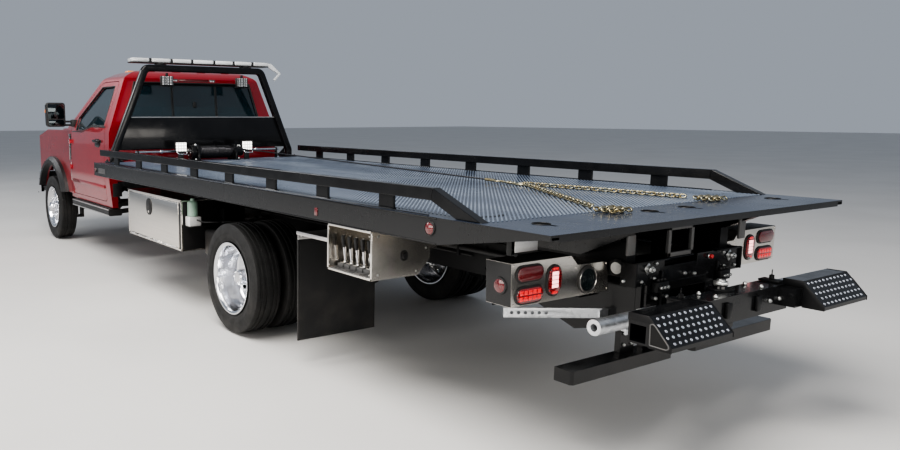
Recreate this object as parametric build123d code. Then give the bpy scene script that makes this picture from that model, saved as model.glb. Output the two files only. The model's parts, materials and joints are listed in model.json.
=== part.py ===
from build123d import *
import math
import os

# Flatbed tow truck with a tilting, sliding bed, a wheel lift and a regular cab.
# Millimetres. X is the vehicle's left, Y runs rearwards, Z is up.
# While modelling, Y = 0 is the front axle. The finished pieces are shifted so that
# the origin lies under the middle of the whole vehicle, on the ground.

# Gaps between pieces, and the reach of a block that cuts all of a piece
REST_GAP = 0.3
BEARING_GAP = 0.3
MOVING_GAP = 6.0
FAR = 20000.0

# Whole vehicle
WHEELBASE = 5207.0
FRONT_END = -970.0
REAR_END = 8400.0

# Wheels and tyres, 225/70 on a 19.5 inch rim
TYRE_R = 407.5
TYRE_W = 225.0
TREAD_W = 190.0
SHOULDER_DROP = 14.0
WIDEST_R = 325.0
BEAD_W = 185.0
RIM_FLANGE_R = 262.0
RIM_LIP = 7.5
RIM_LIP_R = 250.0
RIM_BARREL_R = 236.0
RIM_WELL_R = 222.0
DISC_T = 10.0
DISC_FLAT_R = 145.0
REAR_DISH = 30.0
FRONT_DOME = -22.0
HAND_HOLES = 10
HAND_HOLE_R = 20.0
HAND_HOLE_CIRCLE_R = 182.0
FRONT_TRACK_HALF = 950.0
FRONT_DISC_X = 1012.0
FRONT_CAP_X = 1100.0
DUAL_INNER_X = 813.0
DUAL_OUTER_X = 1067.0
REAR_CAP_X = 1112.0
REAR_HUB_X0 = 690.0
AXLE_Z = TYRE_R
HUB_R = 84.0
HUB_CAP_R = 56.0
SPINDLE_R = 35.0

# Axles, steering and springs
KINGPIN_X = 760.0
KINGPIN_R = 18.0
YOKE_X = KINGPIN_X - 90
YOKE_HALF = 150.0
YOKE_T = 28.0
SPINDLE_X1 = 950.0
AXLE_TUBE_R = 52.0
FRONT_DIFF_R = 140.0
FRONT_DIFF_X = 260.0
REAR_DIFF_R = 185.0
REAR_AXLE_TUBE_R = 72.0
REAR_TUBE_X = 670.0
REAR_SPINDLE_X = 920.0
COIL_X = 530.0
COIL_R = 60.0
COIL_TOP_Z = 700.0
FRONT_PAD_Z = 480.0
LEAF_X0 = 500.0
LEAF_X1 = 580.0
LEAF_HALF = 700.0
LEAF_END_Z = 640.0
REAR_PAD_Z = 500.0

# Ladder frame
RAIL_OUT_X = 434.5
RAIL_FLANGE = 75.0
RAIL_T = 8.0
RAIL_Z0 = 660.0
RAIL_Z1 = 860.0
RAIL_Y0 = -860.0
RAIL_Y1 = 7640.0
CROSS_R = 36.0
CROSS_Z = 790.0
CROSS_YS = (-700.0, 1900.0, 3000.0, 4300.0, 7000.0)
ENGINE = (-300.0, 300.0, -560.0, 380.0, 640.0, 1180.0)
GEARBOX_Y1 = 1150.0
EXHAUST_X = -250.0
EXHAUST_Z = 560.0

# Cab
CAB_Y0 = 640.0
CAB_Y1 = 2160.0
CAB_Z0 = 600.0
CAB_HALF = 1016.0
SIDE_STEP = 16.0
CAB_WIDE_Z = 900.0
CAB_BELT_Z = 1400.0
CAB_ROOF_HALF = 790.0
CAB_ROOF_Z = 2050.0
CAB_EAVES_Z = 1975.0
CAB_WALL = 60.0
CAB_SIDE_RADII = (0, 0, 300, 90, 200, 300, 160, 0)
CAB_FRONT_RADII = (0, 500, 160, 90, 300)
COWL_Z = 1430.0
HEADER_Y = 1430.0
ROOF_SPLIT_Z = 1945.0
FLOOR_Z0 = 880.0
FLOOR_T = 30.0
FLOOR_MOUNT_R = 34.0
GLASS_T = 6.0
GLASS_INSET = 18.0
DOOR_Y0 = 806.0
DOOR_Y1 = 2010.0
DOOR_Z0 = 660.0
DOOR_TOP_Z = 1930.0
DOOR_GAP = 6.0
PILLAR_W = 62.0
WINDOW_Y0 = 960.0
WINDOW_SILL_FRONT = 1398.0
WINDOW_SILL_REAR = 1462.0
WINDSCREEN_HALF = 900.0
REAR_WINDOW_HALF = 800.0
REAR_WINDOW_Z0 = 1500.0
REAR_WINDOW_Z1 = 1920.0
DOOR_AXIS_X = CAB_HALF + 8
DOOR_AXIS_Y = 800.0
HINGE_R = 7.0
SEAT_Z0 = 1010.0
SEAT_Z1 = 1170.0
SEAT_TOP_Z = 1600.0
DASH_HALF = 890.0
STEERING_X = 400.0
STEERING_Y = 1180.0
STEERING_Z = 1330.0
STEERING_LEAN = -65.0

# Front body
FENDER_HALF = CAB_HALF - SIDE_STEP
FENDER_W = 194.0
FENDER_IN = FENDER_HALF - FENDER_W
FENDER_T = 26.0
FENDER_Y1 = 790.0
FENDER_TOP_Z = 1400.0
NOSE_Y = -840.0
NOSE_Z = 1290.0
SKIRT_Z = CAB_Z0 + 50
ARCH_R = 570.0
FLARE_W = 78.0
FLARE_REACH = 78.0
HOOD_Y0 = -800.0
HOOD_Y1 = 600.0
HOOD_HALF = FENDER_IN - 10
HOOD_T = 30.0
HOOD_LIP_Z = NOSE_Z + 20 - HOOD_T
HOOD_AXIS_Y = 615.0
HOOD_AXIS_Z = 1392.0
GRILLE_HALF = 570.0
GRILLE_BORDER = 40.0
GRILLE_BARS = 3
LAMP_X1 = FENDER_HALF - 60
LAMP_Z0 = 960.0
LAMP_Z1 = 1240.0
BUMPER_Z0 = 540.0
BUMPER_Z1 = 810.0
BOARD_X0 = 880.0
BOARD_X1 = CAB_HALF + 14
BOARD_Z0 = 515.0
BOARD_Z1 = 590.0
MIRROR_X0 = CAB_HALF + 69
MIRROR_X1 = MIRROR_X0 + 214

# Bed
BED_Y0 = 2320.0
BED_Y1 = 8090.0
BED_HALF = 1219.0
DECK_Z = 1100.0
DECK_T = 6.0
CHANNEL_H = 130.0
CHANNEL_FLANGE = 50.0
CHANNEL_T = 8.0
CHANNEL_RISE_Y = 7430.0
TAIL_EDGE = 24.0
TAIL_BAR_W = 60.0
SOCKET_X0 = -10.0
SOCKET_X1 = 195.0
SOCKET_Y0 = 7860.0
SOCKET_Y1 = 7950.0
SOCKET_Z0 = 895.0
SOCKET_Z1 = 1040.0
SOCKET_T = 15.0
CROSSMEMBER_PITCH = 305.0
CROSSMEMBER_Z0 = 1010.0
CROSSMEMBER_W = 44.0
RUNNER_X0 = 462.0
RUNNER_X1 = 522.0
RUNNER_Z0 = 900.0
RUNNER_RISE_Y = 7700.0
KEYHOLE_R = 38.0
KEYHOLE_SLOT = 24.0
KEYHOLE_LEN = 86.0
# Keyhole slots for chains: distance from the centre line, centre of the round end
KEYHOLES = ((BED_HALF - 243, 7835.0), (158.0, 7814.0))
SIDE_RAIL_X = BED_HALF - 49
SIDE_RAIL_W = 50.0
SIDE_RAIL_H = 60.0
SIDE_RAIL_TOP_Z = DECK_Z + 132
SIDE_RAIL_SLOPE_Y = 7370.0
SIDE_RAIL_END_Y = 7690.0
SIDE_POST_Y0 = 2870.0
SIDE_POST_PITCH = 590.0
SIDE_POSTS = 8
SIDE_POST_L = 120.0
SIDE_POST_T = 16.0

# Headache rack, winch and lamps at the front of the bed
RACK_Y = 2405.0
RACK_TUBE = 80.0
RACK_FOOT_X = BED_HALF - 144
RACK_KNEE_Z = 1190.0
RACK_TOP_X = 700.0
RACK_TOP_Z = 2090.0
PANEL_Z0 = 1220.0
PANEL_Z1 = 1550.0
PANEL_T = 16.0
BAR_HALF = 800.0
BAR_Z0 = 2112.0
BAR_Z1 = 2158.0
WORK_LAMP_X = 440.0
WINCH_LAMP_X = 388.0
WINCH_LAMP_HALF = 64.0
WINCH_Y = 2600.0
WINCH_Z = 1190.0
DRUM_R = 60.0
FLANGE_R = 84.0
DRUM_HALF = 195.0
TENSION_ROD_Y = 2500.0
TENSION_ROD_Z = 1200.0
CABLE_R = 6.0
CABLE_END = (-390.0, 6250.0, DECK_Z + 20)

# Chain with 10 mm wire on the deck
WIRE = 9.7
LINK_PITCH = 30.0
LINK_W = 34.0
LINK_L = 2 * LINK_PITCH - 10.0
CHAIN_Z = DECK_Z + REST_GAP + (LINK_W + WIRE) * math.sqrt(0.125)
HOOK_LINK = (-410.0, 6440.0)
# Straight runs of chain on the deck: start x, start y, end x, end y
CHAIN_RUNS = (
    (-398.0, 6520.0, 352.0, 7640.0),
    (-419.0, 6520.0, -530.0, 7600.0),
)
# Chain left over at the end of each leg lies in rows: centre x, centre y
CHAIN_HEAPS = ((372.0, 7745.0), (-545.0, 7705.0))
HEAP_ROWS = 3
HEAP_LINKS = 5
HEAP_PITCH = 44.0

# Tilting subframe and its cylinders
SUB_X0 = 362.0
SUB_X1 = RAIL_OUT_X
SUB_Z0 = 866.0
SUB_Z1 = 985.0
SUB_Y0 = 2520.0
SUB_Y1 = 7890.0
SUB_CROSS_T = 22.0
SUB_CROSS_L = 80.0
SUB_CROSS_YS = (SUB_Y0, 3200.0, 4400.0, 5500.0, 6500.0, 7300.0)
PAD_YS = (2700.0, 3600.0, 4500.0, 5400.0, 6300.0, 7200.0)
PAD_L = 400.0
HINGE_Y = 7850.0
HINGE_Z = 850.0
HINGE_PIN_R = 22.0
BARREL_R = 50.0
BARREL_BORE = 40.0
BARREL_Z = 930.0
BARREL_Y0 = 2620.0
BARREL_Y1 = 6160.0
BARREL_SADDLE_YS = (BARREL_Y0 + 60, 4400.0, 6040.0)
ROD_R = 30.0
PISTON_L = 60.0
ROD_EYE_Y = 6260.0
ROD_EYE_HALF = 34.0
TILT_X = 300.0
TILT_LOW = (5100.0, 600.0)
TILT_HIGH = (6200.0, 840.0)
TILT_BARREL_R = 42.0
TILT_BORE_R = 34.0
TILT_ROD_R = 24.0
TILT_PIN_R = 16.0
TILT_BARREL_L = 900.0
TILT_EYE_HALF = 25.0
EAR_X0 = TILT_X + 35
EAR_T = 17.0

# Boxes under the bed
BOX_X0 = 700.0
BOX_X1 = BED_HALF - 31
BOX_L = 1210.0
BOX_Y1 = WHEELBASE - 787
BOX_Y0 = BOX_Y1 - BOX_L
BOX_Z0 = 490.0
BOX_Z1 = 900.0
BOX_T = 12.0
BOX_DOOR_GAP = 6.0
BOX_HINGE_R = 5.9
BOX_BRACKET_Z = 700.0
TANK_X0 = LEAF_X1 + 25
TANK_X1 = 1000.0
TANK_Y0 = BOX_Y1 + 30
TANK_Y1 = WHEELBASE - TYRE_R - 30
TANK_Z0 = 440.0
TANK_Z1 = 670.0
FLAP_X0 = 557.0
FLAP_X1 = BED_HALF - 56
FLAP_Y = WHEELBASE + 907
FLAP_T = 10.0
FLAP_Z0 = 170.0
FLAP_TOP_Z = 860.0
SHELF_T = 8.0
CONTROL_X0 = 760.0
CONTROL_X1 = BED_HALF - 49
CONTROL_Y0 = FLAP_Y + 346
CONTROL_Y1 = CONTROL_Y0 + 420
CONTROL_Z0 = 690.0
CONTROL_Z1 = 960.0
CONTROL_T = 12.0
CONTROL_CUT = 90.0
LEVERS = 6
LEVER_PITCH = 62.0
LEVER_X = 1080.0
LEVER_R = 7.0
LEVER_GRIP = 22.0

# Tail of the chassis
HINGE_PLATE_X0 = 300.0
TAIL_PLATE_Y = 7930.0
TAIL_PLATE_T = 20.0
TAIL_PLATE_HALF = 450.0
TAIL_PLATE_LOW_HALF = 345.0
TAIL_PLATE_STEP_Z = 770.0
TAIL_PLATE_Z0 = 600.0
TAIL_PLATE_Z1 = 888.0
TAIL_NOTCH_Z = 850.0
GUARD_Y0 = 7850.0
GUARD_Y1 = 7950.0
GUARD_Z0 = 370.0
GUARD_Z1 = 435.0
GUARD_X0 = 95.0
GUARD_X1 = 860.0
# Posts of an under-ride bar: inner x, outer x
GUARD_POSTS = ((150.0, 260.0), (330.0, 440.0))
PANEL_Y0 = 7650.0
PANEL_Y1 = 7800.0
LAMP_T = 16.0
# Oval lamps of a tail panel: centre x, centre z, width, height
OVAL_LAMPS = ((998.0, 871.0, 150.0, 58.0), (995.0, 774.0, 150.0, 58.0), (835.0, 824.0, 70.0, 120.0))
BACKUP_LAMP = (533.0, 800.0)
BACKUP_LAMP_R = 50.0
SIDE_MARKER_R = 30.0
SIDE_MARKER_X = 1111.7

# Wheel lift
LIFT_PIN_R = 25.0
LIFT_PIVOT = (6600.0, 600.0)
BOOM_HALF = 80.0
BOOM_Z0 = 540.0
BOOM_Z1 = 690.0
BOOM_T = 12.0
BOOM_Y1 = 7800.0
STINGER_GAP = 0.3
STINGER_Y0 = 6760.0
STINGER_Y1 = 8060.0
TONGUE_T = 24.0
SWIVEL_Y = 8110.0
SWIVEL_R = 30.0
SWIVEL_TOP_Z = 760.0
BEAM_Y0 = 8100.0
BEAM_Y1 = 8220.0
BEAM_Z0 = 612.0
BEAM_Z1 = 740.0
BEAM_HALF = 420.0
STEP_X0 = 400.0
STEP_X1 = 850.0
STEP_TOP = (8296.0, 766.0)
STEP_LIP_Z = 656.0
STEP_T = 8.0
ARM_Y0 = 8205.0
ARM_Y1 = 8295.0
ARM_Z0 = 640.0
ARM_Z1 = 730.0
ARM_T = 9.0
LIFT_TUBE_R = 35.0
LIFT_TUBE_BORE = 27.0
LIFT_TUBE_Y = 8040.0
LIFT_TUBE_Z = 660.0
LIFT_TUBE_X0 = 390.0
LIFT_TUBE_X1 = 850.0
# A galvanised bar stowed behind each tail panel: outer end, inner end
STOWED_OUT = (800.0, 7475.0)
STOWED_IN = (405.0, 7752.0)
STOWED_Z = 600.0
STOWED_W = 50.0
STOWED_T = 14.0
STOWED_HOLES = 6
STOWED_HOLE_R = 9.0

SIDES = (("left", 1), ("right", -1))


def slab(x0, x1, y0, y1, z0, z1):
    """A rectangular block between two corners."""
    return Pos((x0 + x1) / 2, (y0 + y1) / 2, (z0 + z1) / 2) * Box(x1 - x0, y1 - y0, z1 - z0)


def rod_x(r, x0, x1, y, z):
    return Pos((x0 + x1) / 2, y, z) * Rot(0, 90, 0) * Cylinder(r, x1 - x0)


def rod_y(r, y0, y1, x, z):
    return Pos(x, (y0 + y1) / 2, z) * Rot(90, 0, 0) * Cylinder(r, y1 - y0)


def rod_z(r, z0, z1, x, y):
    return Pos(x, y, (z0 + z1) / 2) * Cylinder(r, z1 - z0)


def straight_rod(r, start, end):
    """A round bar between two points."""
    a = Vector(*start)
    b = Vector(*end)
    return Solid.make_cylinder(r, (b - a).length, Plane(origin=a, z_dir=b - a))


def outline_face(points, radii=None):
    """A face inside an outline; radii rounds its corners, one value for all or one for each."""
    if radii is None:
        return make_face(Polyline(*points, close=True))
    return make_face(FilletPolyline(*points, radius=radii, close=True))


def prism_x(points, x0, x1, radii=None):
    """Extrude an outline of (y, z) points from x0 to x1."""
    face = outline_face([(x0, y, z) for y, z in points], radii)
    return extrude(face, amount=x1 - x0, dir=(1, 0, 0))


def prism_y(points, y0, y1, radii=None):
    """Extrude an outline of (x, z) points from y0 to y1."""
    face = outline_face([(x, y0, z) for x, z in points], radii)
    return extrude(face, amount=y1 - y0, dir=(0, 1, 0))


def prism_z(points, z0, z1, radii=None):
    """Extrude an outline of (x, y) points from z0 to z1."""
    face = outline_face([(x, y, z0) for x, y in points], radii)
    return extrude(face, amount=z1 - z0, dir=(0, 0, 1))


def turned_x(points, y, z):
    """Turn an outline of (x, radius) points about an axis along X at (y, z)."""
    face = outline_face([(x, 0, r) for x, r in points])
    return Pos(0, y, z) * revolve(face, Axis.X, 360)


def mirrored(shape):
    return mirror(shape, about=Plane.YZ)


def both(shape):
    """A left piece with its right twin."""
    return [shape, mirrored(shape)]


def on_side(shape, sign):
    return shape if sign > 0 else mirrored(shape)


def solids_of(pieces):
    found = []
    for piece in pieces:
        found.extend(piece.solids())
    return found


# Wheels

def tyre(centre_x, axle_y):
    half = TYRE_W / 2
    tread = TREAD_W / 2
    right = [
        (BEAD_W / 2, RIM_FLANGE_R + REST_GAP), (half, WIDEST_R),
        (tread + 4, TYRE_R - SHOULDER_DROP), (tread - 8, TYRE_R),
    ]
    left = [(-x, r) for x, r in reversed(right)]
    return turned_x([(centre_x + x, r) for x, r in right + left], axle_y, AXLE_Z)


def rim(centre_x, disc_x, bowl, axle_y):
    """A drop-centre rim with a pressed disc at disc_x; bowl moves the disc's edge towards +X."""
    half = BEAD_W / 2
    lip = half + RIM_LIP
    face = disc_x + DISC_T
    outline = [
        (centre_x - lip, RIM_FLANGE_R), (centre_x + lip, RIM_FLANGE_R), (centre_x + lip, RIM_LIP_R),
        (centre_x + half - 8, RIM_BARREL_R), (face + bowl + 20, RIM_WELL_R + 8), (face + bowl, RIM_WELL_R),
        (face, DISC_FLAT_R), (face, HUB_R), (disc_x, HUB_R), (disc_x, DISC_FLAT_R), (disc_x + bowl, RIM_WELL_R),
        (min(disc_x + bowl, centre_x - half) - 8, RIM_BARREL_R), (centre_x - lip, RIM_LIP_R),
    ]
    shape = turned_x(outline, axle_y, AXLE_Z)
    for step in range(HAND_HOLES):
        angle = 2 * math.pi * step / HAND_HOLES
        hole_y = axle_y + HAND_HOLE_CIRCLE_R * math.cos(angle)
        hole_z = AXLE_Z + HAND_HOLE_CIRCLE_R * math.sin(angle)
        shape -= rod_x(HAND_HOLE_R, disc_x - 2 * DISC_T - abs(bowl), face + DISC_T + abs(bowl), hole_y, hole_z)
    return shape


def front_wheel():
    """Single front wheel: domed disc near the outer side, with hub and cap."""
    hub = rod_x(HUB_R, 805, FRONT_DISC_X + DISC_T + 8, 0, AXLE_Z)
    cap = rod_x(HUB_CAP_R, FRONT_DISC_X, FRONT_CAP_X, 0, AXLE_Z)
    bore = rod_x(SPINDLE_R + BEARING_GAP, 790, SPINDLE_X1 + 10, 0, AXLE_Z)
    return rim(FRONT_TRACK_HALF, FRONT_DISC_X, FRONT_DOME, 0) + hub + cap - bore


def rear_wheel():
    """Dual rear wheels: both discs meet on the hub between the rims."""
    middle = (DUAL_INNER_X + DUAL_OUTER_X) / 2
    outer = rim(DUAL_OUTER_X, middle, REAR_DISH, WHEELBASE)
    inner = Pos(2 * middle, 0, 0) * mirrored(outer)
    hub = rod_x(HUB_R, REAR_HUB_X0, middle + 60, WHEELBASE, AXLE_Z)
    cap = rod_x(HUB_CAP_R, middle, REAR_CAP_X, WHEELBASE, AXLE_Z)
    bore = rod_x(SPINDLE_R + BEARING_GAP, REAR_HUB_X0 - 10, REAR_SPINDLE_X + 10, WHEELBASE, AXLE_Z)
    return outer + inner + hub + cap - bore


# Axles, steering and springs

def axles():
    """Driven steering axle with yokes at its ends, and the full-floating rear axle."""
    front = turned_x([
        (-YOKE_X, 0), (-YOKE_X, AXLE_TUBE_R), (FRONT_DIFF_X - 110, AXLE_TUBE_R),
        (FRONT_DIFF_X - 60, FRONT_DIFF_R), (FRONT_DIFF_X + 60, FRONT_DIFF_R),
        (FRONT_DIFF_X + 110, AXLE_TUBE_R), (YOKE_X, AXLE_TUBE_R), (YOKE_X, 0),
    ], 0, AXLE_Z)
    front += rod_y(50, 60, 240, FRONT_DIFF_X, AXLE_Z)
    for sign in (1, -1):
        yoke = slab(YOKE_X - 4, YOKE_X + 24, -50, 50, AXLE_Z - YOKE_HALF, AXLE_Z + YOKE_HALF)
        for z in (AXLE_Z - YOKE_HALF, AXLE_Z + YOKE_HALF - YOKE_T):
            yoke += slab(YOKE_X, KINGPIN_X + 40, -50, 50, z, z + YOKE_T)
        yoke -= rod_z(KINGPIN_R + BEARING_GAP, AXLE_Z - 160, AXLE_Z + 160, KINGPIN_X, 0)
        front += on_side(yoke, sign)
        front += on_side(slab(COIL_X - 30, COIL_X + 30, -60, 60, AXLE_Z + 12, FRONT_PAD_Z), sign)
    rear = turned_x([
        (-REAR_SPINDLE_X, 0), (-REAR_SPINDLE_X, SPINDLE_R), (-REAR_TUBE_X, SPINDLE_R),
        (-REAR_TUBE_X, REAR_AXLE_TUBE_R), (-180, REAR_AXLE_TUBE_R), (-110, REAR_DIFF_R), (110, REAR_DIFF_R),
        (180, REAR_AXLE_TUBE_R), (REAR_TUBE_X, REAR_AXLE_TUBE_R), (REAR_TUBE_X, SPINDLE_R),
        (REAR_SPINDLE_X, SPINDLE_R), (REAR_SPINDLE_X, 0),
    ], WHEELBASE, AXLE_Z)
    for sign in (1, -1):
        pad = slab(LEAF_X0, LEAF_X1, WHEELBASE - 90, WHEELBASE + 90, AXLE_Z + 12, REAR_PAD_Z)
        rear += on_side(pad, sign)
    return [front, rear]


def suspension():
    """Rear leaf packs with their hangers, and front coils between the axle pads and their towers."""
    seat = REAR_PAD_Z + BEARING_GAP
    low = [
        (-LEAF_HALF, LEAF_END_Z), (-250, seat + 30), (-90, seat), (90, seat), (250, seat + 30),
        (LEAF_HALF, LEAF_END_Z), (LEAF_HALF, LEAF_END_Z + 20), (250, seat + 70), (0, seat + 60),
        (-250, seat + 70), (-LEAF_HALF, LEAF_END_Z + 20),
    ]
    leaf = prism_x([(WHEELBASE + y, z) for y, z in low], LEAF_X0, LEAF_X1)
    pieces = both(leaf)
    for y in (WHEELBASE - LEAF_HALF, WHEELBASE + LEAF_HALF):
        hanger = slab(RAIL_OUT_X + REST_GAP, LEAF_X0 - REST_GAP, y - 40, y + 40, LEAF_END_Z - 10, CROSS_Z - 50)
        pieces += both(hanger)
    coil = rod_z(COIL_R, FRONT_PAD_Z + BEARING_GAP, COIL_TOP_Z - REST_GAP, COIL_X, 0)
    coil -= rod_z(COIL_R * 0.7, FRONT_PAD_Z - 10, COIL_TOP_Z + 10, COIL_X, 0)
    tower = slab(RAIL_OUT_X + REST_GAP, COIL_X + COIL_R, -70, 70, COIL_TOP_Z, COIL_TOP_Z + 30)
    return pieces + both(coil) + both(tower)


def knuckle():
    body = slab(KINGPIN_X - 25, KINGPIN_X + 25, -34, 34, AXLE_Z - 110, AXLE_Z + 110)
    body += rod_z(KINGPIN_R, AXLE_Z - 145, AXLE_Z + 145, KINGPIN_X, 0)
    body += rod_x(SPINDLE_R + 20, KINGPIN_X, 800, 0, AXLE_Z)
    body += rod_x(SPINDLE_R, KINGPIN_X, SPINDLE_X1, 0, AXLE_Z)
    return body


# Chassis

def frame_rails():
    """Two C section rails and the round cross tubes between their webs."""
    x1 = RAIL_OUT_X
    x0 = RAIL_OUT_X - RAIL_FLANGE
    section = [
        (x1, RAIL_Z0), (x1, RAIL_Z1), (x0, RAIL_Z1), (x0, RAIL_Z1 - RAIL_T),
        (x1 - RAIL_T, RAIL_Z1 - RAIL_T), (x1 - RAIL_T, RAIL_Z0 + RAIL_T),
        (x0, RAIL_Z0 + RAIL_T), (x0, RAIL_Z0),
    ]
    tip = RAIL_OUT_X - RAIL_T - REST_GAP
    pieces = both(prism_y(section, RAIL_Y0, RAIL_Y1))
    for y in CROSS_YS:
        pieces.append(rod_x(CROSS_R, -tip, tip, y, CROSS_Z))
    return pieces


def engine_block():
    web = RAIL_OUT_X - RAIL_T - REST_GAP
    return slab(*ENGINE) + slab(-web, web, -130, -30, 700, 740)


def drivetrain():
    """Gearbox, propeller shaft, and the exhaust on its hanger."""
    engine_end = ENGINE[3] + REST_GAP
    gearbox = slab(-170, 170, engine_end, GEARBOX_Y1, 560, 860)
    flange = (0, GEARBOX_Y1 + REST_GAP, 640)
    shaft = straight_rod(44, flange, (0, WHEELBASE - REAR_DIFF_R - 12, AXLE_Z))
    muffler = rod_y(110, 2700, 3500, EXHAUST_X, EXHAUST_Z)
    muffler += rod_y(38, 1200, 2710, EXHAUST_X, EXHAUST_Z) + rod_y(38, 3490, 4560, EXHAUST_X, EXHAUST_Z)
    under_rail = RAIL_Z0 - REST_GAP
    muffler += slab(-RAIL_OUT_X, EXHAUST_X + 15, 2900, 2930, under_rail - 8, under_rail)
    muffler += slab(EXHAUST_X - 15, EXHAUST_X + 15, 2900, 2930, EXHAUST_Z, under_rail)
    return [gearbox, shaft, muffler]


def fuel_tank():
    tank = slab(TANK_X0, TANK_X1, TANK_Y0, TANK_Y1, TANK_Z0, TANK_Z1)
    tank = fillet(tank.edges().filter_by(Axis.Y), 40)
    for y in (TANK_Y0 + 102, TANK_Y1 - 70):
        tank += slab(RAIL_OUT_X + REST_GAP, TANK_X0 + 60, y, y + 40, TANK_Z1 - 10, TANK_Z1 + 60)
    return tank


# Cab

def cab_side_outline(inset=0.0):
    return [
        (CAB_Y0 + inset, CAB_Z0 + inset), (CAB_Y1 - inset, CAB_Z0 + inset),
        (CAB_Y1 - inset, REAR_WINDOW_Z0 - 40), (CAB_Y1 - 55 - inset, CAB_EAVES_Z - inset),
        (CAB_Y1 - 150 - inset, CAB_ROOF_Z - inset), (HEADER_Y + 190 + inset, CAB_ROOF_Z - inset),
        (HEADER_Y + inset * 0.8, CAB_EAVES_Z + 5 - inset), (CAB_Y0 + inset, COWL_Z - inset * 0.8),
    ]


def cab_front_outline(inset=0.0):
    right = [
        (CAB_HALF - 30 - inset, CAB_Z0 + inset), (CAB_HALF - inset, CAB_WIDE_Z),
        (CAB_HALF - SIDE_STEP - inset, CAB_BELT_Z), (CAB_ROOF_HALF - inset, CAB_EAVES_Z - inset * 0.6),
        (CAB_ROOF_HALF - 150 - inset * 0.3, CAB_ROOF_Z - inset),
    ]
    return right + [(-x, z) for x, z in reversed(right)]


def cab_form(inset=0.0):
    """The cab's outside, or an inner skin inset from it, with rounded eaves and roof edges."""
    side_radii = [max(r - inset, 0) for r in CAB_SIDE_RADII]
    front_radii = [max(r - inset, 0) for r in CAB_FRONT_RADII + CAB_FRONT_RADII[::-1]]
    side = prism_x(cab_side_outline(inset), -CAB_HALF - 50, CAB_HALF + 50, side_radii)
    front = prism_y(cab_front_outline(inset), CAB_Y0 - 50, CAB_Y1 + 50, front_radii)
    return side & front


def pillar_slope():
    return (CAB_EAVES_Z - COWL_Z) / (HEADER_Y - CAB_Y0)


def door_outline(grow=0.0):
    slope = pillar_slope()
    front_top_z = COWL_Z + slope * (DOOR_Y0 - CAB_Y0) - PILLAR_W
    top_y = CAB_Y0 + (DOOR_TOP_Z - COWL_Z + PILLAR_W) / slope
    return [
        (DOOR_Y0 - grow, DOOR_Z0 - grow), (DOOR_Y1 + grow, DOOR_Z0 - grow),
        (DOOR_Y1 + grow, DOOR_TOP_Z + grow), (top_y - grow * 0.6, DOOR_TOP_Z + grow),
        (DOOR_Y0 - grow, front_top_z + grow * 0.6),
    ]


DOOR_RADII = (40, 60, 70, 200, 0)
WINDOW_RADII = (20, 90, 120, 30, 40, 160, 20)


def window_outline():
    frame = 50
    return [
        (WINDOW_Y0, WINDOW_SILL_FRONT), (WINDOW_Y0 + 290, WINDOW_SILL_FRONT),
        (WINDOW_Y0 + 560, WINDOW_SILL_REAR), (DOOR_Y1 - 70, WINDOW_SILL_REAR),
        (DOOR_Y1 - 100, DOOR_TOP_Z - frame), (HEADER_Y + 60, DOOR_TOP_Z - frame), (WINDOW_Y0, 1540),
    ]


def windscreen_outline():
    top = CAB_ROOF_HALF - 85
    return [
        (-WINDSCREEN_HALF, COWL_Z + 20), (WINDSCREEN_HALF, COWL_Z + 20), (top, ROOF_SPLIT_Z), (-top, ROOF_SPLIT_Z),
    ]


def rear_window_outline():
    top = REAR_WINDOW_HALF - 110
    return [
        (-REAR_WINDOW_HALF, REAR_WINDOW_Z0), (REAR_WINDOW_HALF, REAR_WINDOW_Z0),
        (top, REAR_WINDOW_Z1), (-top, REAR_WINDOW_Z1),
    ]


def fender_clearance():
    """The space that the fenders take at the cab's front corners."""
    back = FENDER_Y1 + REST_GAP
    skin = slab(FENDER_HALF - FENDER_T - REST_GAP, FAR, 0, back, 0, FENDER_TOP_Z + 4)
    return skin + slab(FENDER_IN, FAR, 0, back, FENDER_TOP_Z - FENDER_T - 4, FENDER_TOP_Z + 4)


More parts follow.
